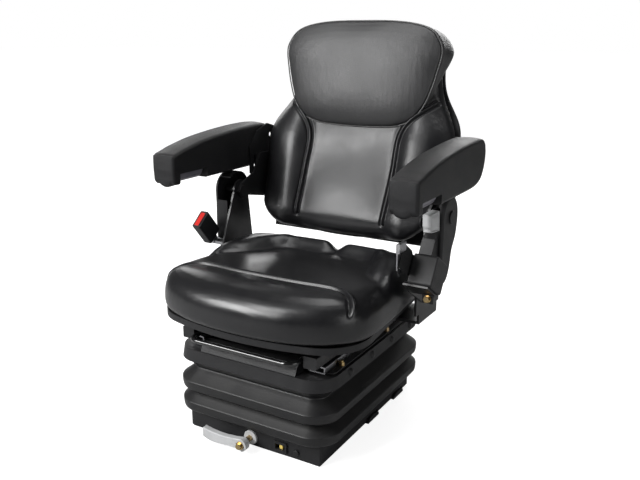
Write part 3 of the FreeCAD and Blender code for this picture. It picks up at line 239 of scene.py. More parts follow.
def inflate(piece, look, held=nothingHeld):
    # foam under a tight cover: remesh, blow up a little with the swelling evened out, and keep
    # every point within the cap
    remesh = piece.modifiers.new("even", "REMESH")
    remesh.mode = "VOXEL"
    remesh.voxel_size = look["voxel"]
    applyModifiers(piece)
    start = coordinates(piece)
    group = piece.vertex_groups.new(name="held")
    group.add([int(i) for i in np.nonzero(held(start))[0]], 1.0, "REPLACE")
    cloth = piece.modifiers.new("foam", "CLOTH")
    cloth.settings.quality = foam["quality"]
    cloth.settings.mass = foam["mass"]
    cloth.settings.tension_stiffness = foam["stretch"]
    cloth.settings.compression_stiffness = foam["stretch"]
    cloth.settings.bending_stiffness = foam["bending"]
    cloth.settings.use_pressure = True
    cloth.settings.uniform_pressure_force = look["pressure"]
    cloth.settings.effector_weights.gravity = 0
    cloth.settings.vertex_group_mass = "held"
    cloth.collision_settings.use_collision = False
    for number in range(1, foam["frames"] + 1):
        scene.frame_set(number)
    graph = bpy.context.evaluated_depsgraph_get()
    moved = vertexValues(piece.evaluated_get(graph).data, "co") - start
    piece.modifiers.clear()
    piece.vertex_groups.clear()
    scene.frame_set(1)
    normals = vertexNormals(piece)
    swell = spread(piece, (moved * normals).sum(1), foam["evening"])
    swell = look["cap"] * np.tanh(swell / look["cap"])
    setCoordinates(piece, start + normals * swell[:, None])
    finer = piece.modifiers.new("finer", "SUBSURF")
    finer.levels = finer.render_levels = 1
    return applyModifiers(piece)


def place(piece, body, slot, material, *replaced):
    piece.data.materials.clear()
    piece.data.materials.append(material)
    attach(piece, body)
    if replaced:
        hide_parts(*replaced)
    return piece


# Shader groups

def shaderGroup(name, inputs, outputs):
    tree = bpy.data.node_groups.new(name, "ShaderNodeTree")
    for label, kind, value in inputs:
        socket = tree.interface.new_socket(label, in_out="INPUT", socket_type=kind)
        socket.default_value = value
    for label, kind in outputs:
        tree.interface.new_socket(label, in_out="OUTPUT", socket_type=kind)
    return tree, tree.nodes.new("NodeGroupInput"), tree.nodes.new("NodeGroupOutput")


def math2(tree, operation, first, second=None, third=None):
    node = tree.nodes.new("ShaderNodeMath")
    node.operation = operation
    for index, value in enumerate((first, second, third)):
        if value is None:
            continue
        if isinstance(value, (int, float)):
            node.inputs[index].default_value = value
        else:
            tree.links.new(value, node.inputs[index])
    return node.outputs[0]


def scaledPlace(tree, scale):
    coord = tree.nodes.new("ShaderNodeTexCoord")
    mapping = tree.nodes.new("ShaderNodeMapping")
    tree.links.new(coord.outputs["Object"], mapping.inputs["Vector"])
    if isinstance(scale, tuple):
        mapping.inputs["Scale"].default_value = scale
    elif isinstance(scale, (int, float)):
        mapping.inputs["Scale"].default_value = (scale, scale, scale)
    else:
        combine = tree.nodes.new("ShaderNodeCombineXYZ")
        for index in range(3):
            tree.links.new(scale, combine.inputs[index])
        tree.links.new(combine.outputs[0], mapping.inputs["Scale"])
    return mapping.outputs[0]


def noise(tree, vector, scale, detail, roughness):
    node = tree.nodes.new("ShaderNodeTexNoise")
    node.inputs["Scale"].default_value = scale
    node.inputs["Detail"].default_value = detail
    node.inputs["Roughness"].default_value = roughness
    tree.links.new(vector, node.inputs["Vector"])
    return node.outputs["Fac"]


def makeGrain():
    # pebbled skin: small cells with soft creases, upright lines where the cover is pulled tight,
    # and a slow change over the panel
    tree, given, out = shaderGroup(
        "pebbledGrain",
        [("Cells per metre", "NodeSocketFloat", 900.0), ("Crease", "NodeSocketFloat", 0.6),
         ("Pull", "NodeSocketFloat", 0.0)],
        [("Height", "NodeSocketFloat"), ("Mottle", "NodeSocketFloat")])
    spot = scaledPlace(tree, given.outputs["Cells per metre"])
    cells = tree.nodes.new("ShaderNodeTexVoronoi")
    cells.feature = "F1"
    cells.inputs["Scale"].default_value = 1.0
    cells.inputs["Randomness"].default_value = 1.0
    tree.links.new(spot, cells.inputs["Vector"])
    fine = noise(tree, spot, 2.6, 3.0, 0.6)
    slow = noise(tree, scaledPlace(tree, 14.0), 1.0, 3.0, 0.55)
    creased = math2(tree, "MULTIPLY", cells.outputs["Distance"], given.outputs["Crease"])
    pebble = math2(tree, "SUBTRACT", 1.0, creased)
    skin = math2(tree, "ADD", pebble, math2(tree, "MULTIPLY", fine, 0.35))
    pulled = noise(tree, scaledPlace(tree, (120.0, 120.0, 9.0)), 1.0, 3.0, 0.5)
    tree.links.new(math2(tree, "ADD", skin, math2(tree, "MULTIPLY", pulled, given.outputs["Pull"])),
                   out.inputs["Height"])
    tree.links.new(slow, out.inputs["Mottle"])
    return tree


def makeSpark():
    # spark-eroded mould texture: two sizes of noise
    tree, given, out = shaderGroup(
        "mouldTexture",
        [("Grains per metre", "NodeSocketFloat", 1500.0)],
        [("Height", "NodeSocketFloat"), ("Mottle", "NodeSocketFloat")])
    fine = noise(tree, scaledPlace(tree, given.outputs["Grains per metre"]), 1.0, 3.0, 0.65)
    slow = noise(tree, scaledPlace(tree, 22.0), 1.0, 4.0, 0.6)
    tree.links.new(fine, out.inputs["Height"])
    tree.links.new(slow, out.inputs["Mottle"])
    return tree


def makeDust():
    # thin dust that settles on upward faces and in slow patches
    tree, given, out = shaderGroup(
        "settledDust",
        [("Amount", "NodeSocketFloat", 0.3)],
        [("Mask", "NodeSocketFloat")])
    geometry = tree.nodes.new("ShaderNodeNewGeometry")
    split = tree.nodes.new("ShaderNodeSeparateXYZ")
    tree.links.new(geometry.outputs["Normal"], split.inputs[0])
    up = math2(tree, "MAXIMUM", split.outputs["Z"], 0.0)
    patch = noise(tree, scaledPlace(tree, 30.0), 1.0, 5.0, 0.7)
    raised = math2(tree, "MULTIPLY", math2(tree, "POWER", up, 2.0), patch)
    tree.links.new(math2(tree, "MULTIPLY", raised, given.outputs["Amount"]), out.inputs["Mask"])
    return tree


def makeWeave():
    # twill webbing read from the strap's own unwrapped length and width, in metres
    tree, given, out = shaderGroup(
        "webbingWeave",
        [("Threads per metre", "NodeSocketFloat", 1000.0)],
        [("Height", "NodeSocketFloat"), ("Mottle", "NodeSocketFloat")])
    coord = tree.nodes.new("ShaderNodeTexCoord")
    split = tree.nodes.new("ShaderNodeSeparateXYZ")
    tree.links.new(coord.outputs["UV"], split.inputs[0])
    along = math2(tree, "MULTIPLY", split.outputs["X"], given.outputs["Threads per metre"])
    across = math2(tree, "MULTIPLY", split.outputs["Y"], given.outputs["Threads per metre"])
    turned = math2(tree, "ADD", along, math2(tree, "PINGPONG", across, 6.0))
    twill = math2(tree, "SINE", math2(tree, "MULTIPLY", turned, math.pi))
    rib = math2(tree, "SINE", math2(tree, "MULTIPLY", across, 2 * math.pi))
    tree.links.new(math2(tree, "ADD", twill, math2(tree, "MULTIPLY", rib, 0.5)), out.inputs["Height"])
    tree.links.new(math2(tree, "MULTIPLY_ADD", twill, 0.3, 0.5), out.inputs["Mottle"])
    return tree


grainGroup = makeGrain()
sparkGroup = makeSpark()
dustGroup = makeDust()
weaveGroup = makeWeave()
print("shader groups made")


# Materials

def mixColour(tree, mask, first, second):
    node = tree.nodes.new("ShaderNodeMix")
    node.data_type = "RGBA"
    node.inputs[6].default_value = (*first, 1)
    node.inputs[7].default_value = (*second, 1)
    tree.links.new(mask, node.inputs[0])
    return node.outputs[2]


def mapRange(tree, value, low, high, toLow, toHigh):
    node = tree.nodes.new("ShaderNodeMapRange")
    for index, number in enumerate((low, high, toLow, toHigh)):
        node.inputs[index + 1].default_value = number
    tree.links.new(value, node.inputs[0])
    return node.outputs[0]


dustColour = (0.32, 0.31, 0.29)
usualFinish = {"group": sparkGroup, "label": "Grains per metre", "bumpDepth": 0.0003, "dust": 0.02,
               "metal": 0.0, "specular": 0.5, "coat": 0.0, "coatRoughness": 0.2}
grained = {"group": grainGroup, "label": "Cells per metre"}


def texturedFinish(name, own):
    # one finish from a surface group: colour and gloss drift with the mottle, dust lightens what faces up
    look = {**usualFinish, **own}
    material = bpy.data.materials.new(name)
    material.use_nodes = True
    tree = material.node_tree
    shader = tree.nodes["Principled BSDF"]
    surface = tree.nodes.new("ShaderNodeGroup")
    surface.node_tree = look["group"]
    surface.inputs[look["label"]].default_value = look["grain"]
    for label in ("Crease", "Pull"):
        if label in look:
            surface.inputs[label].default_value = look[label]
    dust = tree.nodes.new("ShaderNodeGroup")
    dust.node_tree = dustGroup
    dust.inputs["Amount"].default_value = look["dust"]
    tone = tree.nodes.new("ShaderNodeMix")
    tone.data_type = "RGBA"
    tree.links.new(mixColour(tree, mapRange(tree, surface.outputs["Mottle"], 0.3, 0.7, 0, 1),
                             look["colour"], look["colour2"]), tone.inputs[6])
    tone.inputs[7].default_value = (*dustColour, 1)
    tree.links.new(dust.outputs["Mask"], tone.inputs[0])
    tree.links.new(tone.outputs[2], shader.inputs["Base Color"])
    rough = mapRange(tree, surface.outputs["Mottle"], 0.3, 0.7, *look["roughness"])
    tree.links.new(math2(tree, "ADD", rough, math2(tree, "MULTIPLY", dust.outputs["Mask"], 0.3)),
                   shader.inputs["Roughness"])
    bump = tree.nodes.new("ShaderNodeBump")
    bump.inputs["Strength"].default_value = look["bump"]
    bump.inputs["Distance"].default_value = look["bumpDepth"]
    tree.links.new(surface.outputs["Height"], bump.inputs["Height"])
    tree.links.new(bump.outputs["Normal"], shader.inputs["Normal"])
    shader.inputs["Metallic"].default_value = look["metal"]
    shader.inputs["Specular IOR Level"].default_value = look["specular"]
    shader.inputs["Coat Weight"].default_value = look["coat"]
    shader.inputs["Coat Roughness"].default_value = look["coatRoughness"]
    return material


seatVinyl = texturedFinish("seatVinyl", {
    **grained, "grain": 820.0, "Crease": 0.7, "Pull": 0.4,
    "colour": (0.005, 0.005, 0.006), "colour2": (0.007, 0.007, 0.008), "roughness": (0.28, 0.35),
    "bump": 0.20, "bumpDepth": 0.0004, "coat": 0.10, "coatRoughness": 0.22, "dust": 0.01, "specular": 0.50})
backVinyl = texturedFinish("backVinyl", {
    **grained, "grain": 820.0, "Crease": 0.7, "Pull": 2.4,
    "colour": (0.006, 0.006, 0.007), "colour2": (0.009, 0.009, 0.010), "roughness": (0.30, 0.42),
    "bump": 0.26, "bumpDepth": 0.0004, "coat": 0.06, "coatRoughness": 0.22, "dust": 0.01, "specular": 0.40})
headVinyl = texturedFinish("headVinyl", {
    **grained, "grain": 950.0, "Crease": 0.8, "Pull": 1.8,
    "colour": (0.020, 0.020, 0.021), "colour2": (0.028, 0.028, 0.029), "roughness": (0.38, 0.47),
    "bump": 0.45, "bumpDepth": 0.0005, "specular": 0.62})
edgePiping = texturedFinish("edgePiping", {
    **grained, "grain": 1500.0, "Crease": 0.5,
    "colour": (0.045, 0.045, 0.045), "colour2": (0.07, 0.07, 0.07), "roughness": (0.35, 0.45),
    "bump": 0.2})
mouldedPlastic = texturedFinish("mouldedPlastic", {
    "grain": 1300.0,
    "colour": (0.010, 0.010, 0.011), "colour2": (0.015, 0.015, 0.016), "roughness": (0.44, 0.54),
    "bump": 0.32, "bumpDepth": 0.0004, "dust": 0.03, "specular": 0.34})
armrestFoam = texturedFinish("armrestFoam", {
    **grained, "grain": 1100.0, "Crease": 0.9,
    "colour": (0.008, 0.008, 0.009), "colour2": (0.013, 0.013, 0.014), "roughness": (0.40, 0.50),
    "bump": 0.65, "bumpDepth": 0.0006, "dust": 0.05, "specular": 0.30})
bellowsRubber = texturedFinish("bellowsRubber", {
    "grain": 700.0,
    "colour": (0.008, 0.008, 0.009), "colour2": (0.012, 0.012, 0.012), "roughness": (0.36, 0.46),
    "bump": 0.14, "dust": 0.04, "specular": 0.40})
paintedSteel = texturedFinish("paintedSteel", {
    "grain": 420.0,
    "colour": (0.008, 0.008, 0.009), "colour2": (0.012, 0.012, 0.013), "roughness": (0.30, 0.40),
    "bump": 0.08, "dust": 0.04, "specular": 0.42})
brightSteel = texturedFinish("brightSteel", {
    "grain": 900.0, "metal": 1.0,
    "colour": (0.42, 0.42, 0.43), "colour2": (0.32, 0.32, 0.34), "roughness": (0.22, 0.34),
    "bump": 0.05, "bumpDepth": 0.0002})
yellowZinc = texturedFinish("yellowZinc", {
    "grain": 600.0, "metal": 1.0,
    "colour": (0.52, 0.38, 0.16), "colour2": (0.44, 0.34, 0.22), "roughness": (0.24, 0.36),
    "bump": 0.05, "bumpDepth": 0.0002})
greyPlastic = texturedFinish("greyPlastic", {
    "grain": 1500.0,
    "colour": (0.44, 0.445, 0.45), "colour2": (0.52, 0.525, 0.53), "roughness": (0.42, 0.52),
    "bump": 0.18, "dust": 0.05})
redPlastic = texturedFinish("redPlastic", {
    "grain": 1500.0,
    "colour": (0.55, 0.012, 0.008), "colour2": (0.64, 0.02, 0.012), "roughness": (0.35, 0.42),
    "bump": 0.10, "bumpDepth": 0.0002})
glossPaint = texturedFinish("glossPaint", {
    "grain": 300.0,
    "colour": (0.006, 0.006, 0.006), "colour2": (0.009, 0.009, 0.010), "roughness": (0.14, 0.20),
    "bump": 0.04, "bumpDepth": 0.0002, "coat": 0.6, "coatRoughness": 0.08, "dust": 0.01})
ribbedRoller = texturedFinish("ribbedRoller", {
    "grain": 1200.0,
    "colour": (0.13, 0.125, 0.15), "colour2": (0.17, 0.165, 0.19), "roughness": (0.38, 0.46),
    "bump": 0.12, "dust": 0.03})
webbing = texturedFinish("webbing", {
    "group": weaveGroup, "label": "Threads per metre", "grain": 1000.0,
    "colour": (0.010, 0.010, 0.011), "colour2": (0.020, 0.020, 0.021), "roughness": (0.62, 0.72),
    "bump": 0.6, "bumpDepth": 0.0005, "dust": 0.05, "specular": 0.35})
signalYellow = texturedFinish("signalYellow", {
    "grain": 1500.0,
    "colour": (0.70, 0.52, 0.12), "colour2": (0.76, 0.58, 0.16), "roughness": (0.35, 0.45),
    "bump": 0.08, "bumpDepth": 0.0002, "dust": 0.15})
print("materials made")


# Carried-over CAD nodes

finishOf = {
    paintedSteel: ["base_frame", "upper_frame", "outer_arm_left", "outer_arm_right", "inner_arm_left",
                   "inner_arm_right", "side_plate_left", "side_plate_right", "armrest_bracket_left",
                   "armrest_bracket_right", "upper_rail_left", "upper_rail_right", "reel_bracket",
                   "damper_tube", "spring_carriage"],
    glossPaint: ["towel_bar"],
    brightSteel: ["lower_pivot_pins", "upper_pivot_pins", "upper_roller_shaft", "lower_roller_shaft",
                  "scissor_pins", "lower_rail_left", "lower_rail_right", "damper_rod", "tension_springs",
                  "belt_tongue", "buckle_stalk"],
    yellowZinc: ["crank_spindle", "crank_screw", "rail_bolts", "reel_bolt"],
    mouldedPlastic: ["base_cover", "bellows_collar", "collar_clips", "side_cover_left", "side_cover_right",
                     "back_frame", "belt_reel", "buckle_body", "pivot_bolts", "window_bezel", "upper_rollers",
                     "lower_rollers", "seat_pan", "cover_plug"],
    ribbedRoller: ["tilt_roller_left", "tilt_roller_right"],
    armrestFoam: ["armrest_left", "armrest_right"],
    greyPlastic: ["crank_bush", "crank_handle", "recline_lever"],
    signalYellow: ["weight_indicator"],
    redPlastic: ["buckle_button"],
    webbing: ["belt_webbing"],
}
for material, names in finishOf.items():
    for name in names:
        piece = nodes[name]
        piece.data.materials.clear()
        piece.data.materials.append(material)
print("CAD nodes finished:", sum(len(names) for names in finishOf.values()))


# Seat cushion

seatCushion = {
    "outline": [(0, -257), (64, -253.5), (123, -242), (180, -218), (217, -178), (228, -126), (224, -50),
                (215, 43), (210, 100), (198, 134), (160, 152), (80, 156)],
    "bottom": 261.6, "overhang": 11.0, "middle": (0.0, -50.0), "shoulder": 38.0,
    "side": [(-5, 0.3), (3, 2.0), (8, 6.0), (10.5, 12), (11, 20), (11, 28), (10.4, 36)],
    "rollRadius": 30.0, "frontMore": 16.0, "frontSpan": (60, -200),
    "rollAngles": (10, 22, 35, 48, 62, 76, 90),
    "panelFront": -146.0, "panelHeight": 337.0, "panelTilt": 4.5, "panelEnd": (-138, -158),
    "rollHeight": 344.0, "rollSpan": (-150, -195), "bolsterSpan": (-120, -45), "footWidth": 34.0,
    "ridgeFoot": 94.0, "ridgeCrest": 128.0, "ridgeLine": [(96, 341), (128, 341), (165, 334)],
    "ridgeSpan": (80, 150),
    "notchX": 5.0, "notchHalf": 26.0, "notchDepth": 21.0,
    "panelOutline": [(0, -170), (150, -168), (250, -160), (262, -120), (222, -78), (190, -46), (155, -8),
                     (131, 45), (117, 76), (88, 95), (45, 98), (0, 98)],
    "footLine": [(-146, 250), (-90, 226), (-60, 206), (-35, 182), (-5, 152), (45, 128), (88, 113)],
    "crestLine": [(-146, 337), (-60, 341), (0, 346), (60, 347), (100, 345), (165, 334)],
    "seam": [(0, -147), (70, -146), (125, -141), (158, -142), (186, -156), (206, -180), (216, -203)],
    "panelHub": -40.0, "bank": 33.0, "settle": 14, "detailSpan": (0.300, 0.318),
    "tuckDepth": 1.4, "tuckWidth": 6.0, "tuckSpan": (-80, -52), "tuckRear": (20, 80), "tuckLess": 0.6,
    "grooveDepth": 6.2, "grooveWidth": 3.4, "beadHeight": 3.0, "beadWidth": 4.2, "beadAside": 7.5,
    "seamSpan": (0.31, 0.325), "seamEnds": 0.03, "fineWithin": 0.020, "fineAbove": 0.315,
    "voxel": 0.006, "pressure": 3.0, "cap": 0.007, "heldBelow": 0.270,
}


def along(line, at):
    # a line given as (place, value) pairs, read at each place
    return np.interp(at, [p[0] for p in line], [p[1] for p in line])


def seatPanel(y):
    # height of the sloping centre panel, in mm
    slope = math.tan(math.radians(seatCushion["panelTilt"]))
    return seatCushion["panelHeight"] - slope * (y - seatCushion["panelFront"])


def seatBase(x, y):
    # the sitting surface without its rear ridge: front roll, sloping panel and side bolsters, in mm
    look = seatCushion
    panel, low = seatPanel(y), look["panelHeight"]
    roll = low + (look["rollHeight"] - low) * smoothStep(*look["rollSpan"], y)
    height = panel + (roll - panel) * smoothStep(*look["panelEnd"], y)
    share = smoothStep(0, look["footWidth"], np.abs(x) - along(look["footLine"], y))
    share = share * smoothStep(*look["bolsterSpan"], y)
    return height + (along(look["crestLine"], y) - height) * share


def seatDetail(x, y):
    # what lies on that surface: bolsters and rear ridge round the panel, the ridge's notch,
    # and a tuck at their foot
    look = seatCushion
    flat = np.column_stack([x, y])
    half = look["panelOutline"]
    loop = smoothCurve(half + [(-a, b) for a, b in reversed(half[1:-1])], 160, closed=True)
    away = distanceTo(np.vstack([loop, loop[:1]]), flat)[0]
    turns = np.arctan2(flat[:, 1] - look["panelHub"], flat[:, 0])
    edges = np.arctan2(loop[:, 1] - look["panelHub"], loop[:, 0])
    order = np.argsort(edges)
    rim = np.hypot(loop[:, 0], loop[:, 1] - look["panelHub"])[order]
    reach = np.interp(turns, edges[order], rim, period=2 * math.pi)
    outside = np.where(np.hypot(flat[:, 0], flat[:, 1] - look["panelHub"]) > reach, away, -away)
    panel, rear = seatPanel(y), along(look["ridgeLine"], y)
    crest = rear + (along(look["crestLine"], y) - rear) * smoothStep(*look["ridgeSpan"], np.abs(x))
    rise = smoothStep(0, look["bank"], outside)
    lift = (panel + (crest - panel) * rise - seatBase(x, y)) * smoothStep(*look["bolsterSpan"], y)
    back = smoothStep(look["ridgeFoot"], look["ridgeCrest"], y)
    notch = np.clip(1 - np.abs(x - look["notchX"]) / look["notchHalf"], 0, 1)
    lift = lift - look["notchDepth"] * notch * back
    tuck = bell(outside, look["tuckWidth"]) * smoothStep(*look["tuckSpan"], y)
    return lift - look["tuckDepth"] * tuck * (1 - look["tuckLess"] * smoothStep(*look["tuckRear"], y))


def buildSeatCushion(look):
    half = look["outline"]
    loop = half + [(-x, y) for x, y in reversed(half[1:])]
    plan = smoothCurve(loop, 200, closed=True)
    normal = planNormals(plan, plan.mean(0))
    low = look["bottom"]
    middle = np.array(look["middle"])
    rings = []
    for share in (0.15, 0.5, 0.85):
        rings.append(np.column_stack([middle + (plan - middle) * share, np.full(len(plan), low)]))
    for reach, lift in look["side"]:
        rings.append(np.column_stack([plan + normal * reach, np.full(len(plan), low + lift)]))
    # the front rolls over on a bigger radius than the rear
    radius = look["rollRadius"] + look["frontMore"] * smoothStep(*look["frontSpan"], plan[:, 1])
    shoulder = low + look["shoulder"]
    for angle in look["rollAngles"]:
        turn = math.radians(angle)
        flat = plan + normal * (look["overhang"] - 1 - radius * (1 - math.cos(turn)))[:, None]
        crest = seatBase(flat[:, 0], flat[:, 1])
        rings.append(np.column_stack([flat, shoulder + (crest - shoulder) * math.sin(turn)]))
    edge = rings[-1][:, :2]
    for share in np.arange(0.95, 0.05, -0.05):
        flat = middle + (edge - middle) * share
        rings.append(np.column_stack([flat, seatBase(flat[:, 0], flat[:, 1])]))
    piece = inflate(ringSurface("seatCushion", rings), look, lambda p: p[:, 2] < look["heldBelow"])
    points = coordinates(piece)
    upper = smoothStep(*look["detailSpan"], points[:, 2])
    detail = spread(piece, seatDetail(points[:, 0] * 1000, points[:, 1] * 1000) * upper, look["settle"])
    points[:, 2] += detail / 1000
    setCoordinates(piece, points)
    # front seam: runs across behind the front roll and hooks forward at both ends
    right = look["seam"]
    path = smoothCurve([(-x, y) for x, y in reversed(right[1:])] + right, 120) / 1000
    refineNear(piece, lambda p: (distanceTo(path, p[:, :2])[0] < look["fineWithin"])
               & (p[:, 2] > look["fineAbove"]))
    points = coordinates(piece)
    away, where = distanceTo(path, points[:, :2])
    shares = np.linspace(0, 1, len(path))
    nearest = np.column_stack([np.interp(where, shares, path[:, k]) for k in range(2)])
    run = np.column_stack([np.interp(where, shares, np.gradient(path[:, k])) for k in range(2)])
    offset = points[:, :2] - nearest
    # the bead lies on the left of the line as it runs from left to right: behind it, and outside its hooks
    signed = away * np.sign(run[:, 0] * offset[:, 1] - run[:, 1] * offset[:, 0]) * 1000
    fade = smoothStep(0, look["seamEnds"], where) * smoothStep(1, 1 - look["seamEnds"], where)
    fade = fade * smoothStep(*look["seamSpan"], points[:, 2])
    pushOut(piece, (look["beadHeight"] * bell(signed - look["beadAside"], look["beadWidth"])
                    - look["grooveDepth"] * bell(signed, look["grooveWidth"])) * fade)
    return piece


seatPad = buildSeatCushion(seatCushion)
place(seatPad, "seat", "seat_leather", seatVinyl, "seat_cushion")
print("seat cushion", len(seatPad.data.vertices), "points")


# Back cushion

backCushion = {
    "widths": [(350, 203), (400, 216), (470, 228), (540, 237), (590, 235), (625, 217), (665, 192),
               (720, 182), (765, 174)],
    "spine": [(400.0, 153.5), (591.0, 230.0), (771.0, 258.0)],
    "levels": [350, 352, 356, 362, 370, 380, 392, 405, *range(420, 760, 15), 758, 763, 765],
    "low": 350.0, "high": 765.0, "lowRoll": (405, 55.5), "topRoll": (750, 15.5), "around": 160,
    "narrowest": 0.72, "sidePower": 0.55, "facePower": 0.62, "endShift": 8.0, "shellRoom": 0.6,
    "fadeShare": 0.8,
    "bolster": 26.0, "fadeSpan": (560, 670), "foamLow": 84.0, "foamHigh": 58.0, "panelSpan": (96, 158),
    "swell": 9.0, "swellAt": 455.0, "swellTall": 62.0, "swellWide": 120.0,
    "lift": 26.0, "liftWide": 212.0, "liftSpan": (350, 470),
    "voxel": 0.006, "pressure": 3.0, "cap": 0.010,
    "channelDepth": 4.2, "channelBead": 2.4, "channelHalf": 5.2, "grooveWidth": 2.4, "beadWidth": 2.8,
    "channel": [(110.5, 400), (111.5, 444), (112.5, 506), (112, 567), (121, 598), (139, 621), (168, 643),
                (190, 660)],
    "channelEnd": 0.97, "frontFacing": (-0.2, -0.6), "fineWithin": 0.018, "fineAhead": 0.26,
}


def backFaces(z):
    # where the bolsters' front and the face against the shell lie, in mm: a parabola through the
    # spine's points, with bolsters that fade out towards the top
    look = backCushion
    (lowZ, lowY), (midZ, midY), (highZ, highY) = look["spine"]
    line = (lowY * (z - midZ) * (z - highZ) / ((lowZ - midZ) * (lowZ - highZ))
            + midY * (z - lowZ) * (z - highZ) / ((midZ - lowZ) * (midZ - highZ))
            + highY * (z - lowZ) * (z - midZ) / ((highZ - lowZ) * (highZ - midZ)))
    share = (z - look["low"]) / (look["high"] - look["low"])
    front = line - look["bolster"] * (1 - look["fadeShare"] * smoothStep(*look["fadeSpan"], z))
    return front, front + look["foamLow"] + (look["foamHigh"] - look["foamLow"]) * share


def buildBackCushion(look):
    rings = []
    turn = np.linspace(0, 2 * math.pi, look["around"], endpoint=False)
    for z in look["levels"]:
        wide = along(look["widths"], z)
        fade = float(smoothStep(*look["fadeSpan"], z))
        front, rear = backFaces(z)
        rear = rear - look["shellRoom"]
        roll = 1.0
        start, radius = look["lowRoll"]
        if z < start:
            roll = math.sqrt(max(0.02, 1 - ((start - z) / radius) ** 2))
        start, radius = look["topRoll"]
        if z > start:
            roll = math.sqrt(max(0.05, 1 - ((z - start) / radius) ** 2))
        middle = (front + rear) / 2 + (1 - roll) * look["endShift"]
        half = (rear - front) / 2 * roll
        c, s = np.cos(turn), np.sin(turn)
        wide = wide * (look["narrowest"] + (1 - look["narrowest"]) * roll)
        x = wide * np.sign(c) * np.abs(c) ** look["sidePower"]
        y = middle - half * np.sign(s) * np.abs(s) ** look["facePower"]
        across = np.abs(x)
        facing = np.clip(s, 0, 1) ** 0.5
        # the middle panel lies back from the bolsters, with a low swell at the waist
        panel = 1 - smoothStep(*look["panelSpan"], across)
        swell = (1 - (across / look["swellWide"]) ** 2).clip(0, 1)
        swell = bell(z - look["swellAt"], look["swellTall"]) * swell
        y = y + facing * (look["bolster"] * (1 - fade) * panel - look["swell"] * swell * roll)
        lift = look["lift"] * (across / look["liftWide"]) ** 2 * (1 - smoothStep(*look["liftSpan"], z))
        rings.append(np.column_stack([x, y, z + lift]))
    piece = inflate(ringSurface("backCushion", rings), look)
    # keep the rear against the shell
    points = coordinates(piece)
    points[:, 1] = np.minimum(points[:, 1], backFaces(points[:, 2] * 1000)[1] / 1000 - 0.0003)
    setCoordinates(piece, points)
    for side in (-1, 1):
        path = smoothCurve([(side * x, z) for x, z in look["channel"]], 100) / 1000
        plane = [0, 2]
        refineNear(piece, lambda p: (distanceTo(path, p[:, plane])[0] < look["fineWithin"])
                   & (p[:, 1] < look["fineAhead"]))
        away, where = distanceTo(path, coordinates(piece)[:, plane])
        away = away * 1000
        fade = smoothStep(*look["frontFacing"], vertexNormals(piece)[:, 1])
        fade = fade * smoothStep(1.0, look["channelEnd"], where)
        groove = look["channelDepth"] * bell(away - look["channelHalf"], look["grooveWidth"])
        pushOut(piece, (look["channelBead"] * bell(away, look["beadWidth"]) - groove) * fade)
    return piece


backPad = buildBackCushion(backCushion)
place(backPad, "backrest", "seat_leather", backVinyl, "back_cushion")
print("back cushion", len(backPad.data.vertices), "points")


# Head pad

headPad = {
    "outline": [(0, 833), (80, 831.5), (135, 824), (168, 811), (187, 789), (194, 766), (188, 730),
                (178, 690), (163, 652), (138, 622), (104, 607), (50, 602)],
    "middle": (0.0, 712.0), "lowEdge": 601.0, "tilt": 9.0, "frontY": 200.0, "depth": 104.0,
    "crown": 17.0, "crownPower": 3.2, "faceAt": 16.0, "edgeAt": 17.5, "bulgeOver": 190.0,
    "gusset": [(22, 1.2), (30, 1.8), (38, 1.6)],
    "rear": [(0.25, 2.4), (0.5, 2.6), (0.75, 1.5), (0.92, -2.0), (1.0, -11.0)],
    "wrapFrom": 690.0, "wrapOver": 88.0, "rearFrom": 38.0, "rearMore": 3.0, "seamFrom": 18.0,
    "seamDepth": 2.6, "seamWidth": 3.4, "fineWithin": 0.012, "pipingRadius": 1.5, "pipingAhead": 0.8,
    "voxel": 0.005, "pressure": 2.5, "cap": 0.006,
}


def leanHead(points):
    # the pad is drawn upright, then leans back about its lower edge
    turn = math.radians(headPad["tilt"])
    y = points[:, 1]
    z = points[:, 2] - headPad["lowEdge"]
    moved = points.copy()
    moved[:, 1] = y * math.cos(turn) + z * math.sin(turn) + headPad["frontY"]
    moved[:, 2] = -y * math.sin(turn) + z * math.cos(turn) + headPad["lowEdge"]
    return moved


def headRing(flat, depth):
    # an outline set upright at a depth behind the pad's front
    return np.column_stack([flat[:, 0], np.broadcast_to(depth, len(flat)), flat[:, 1]])


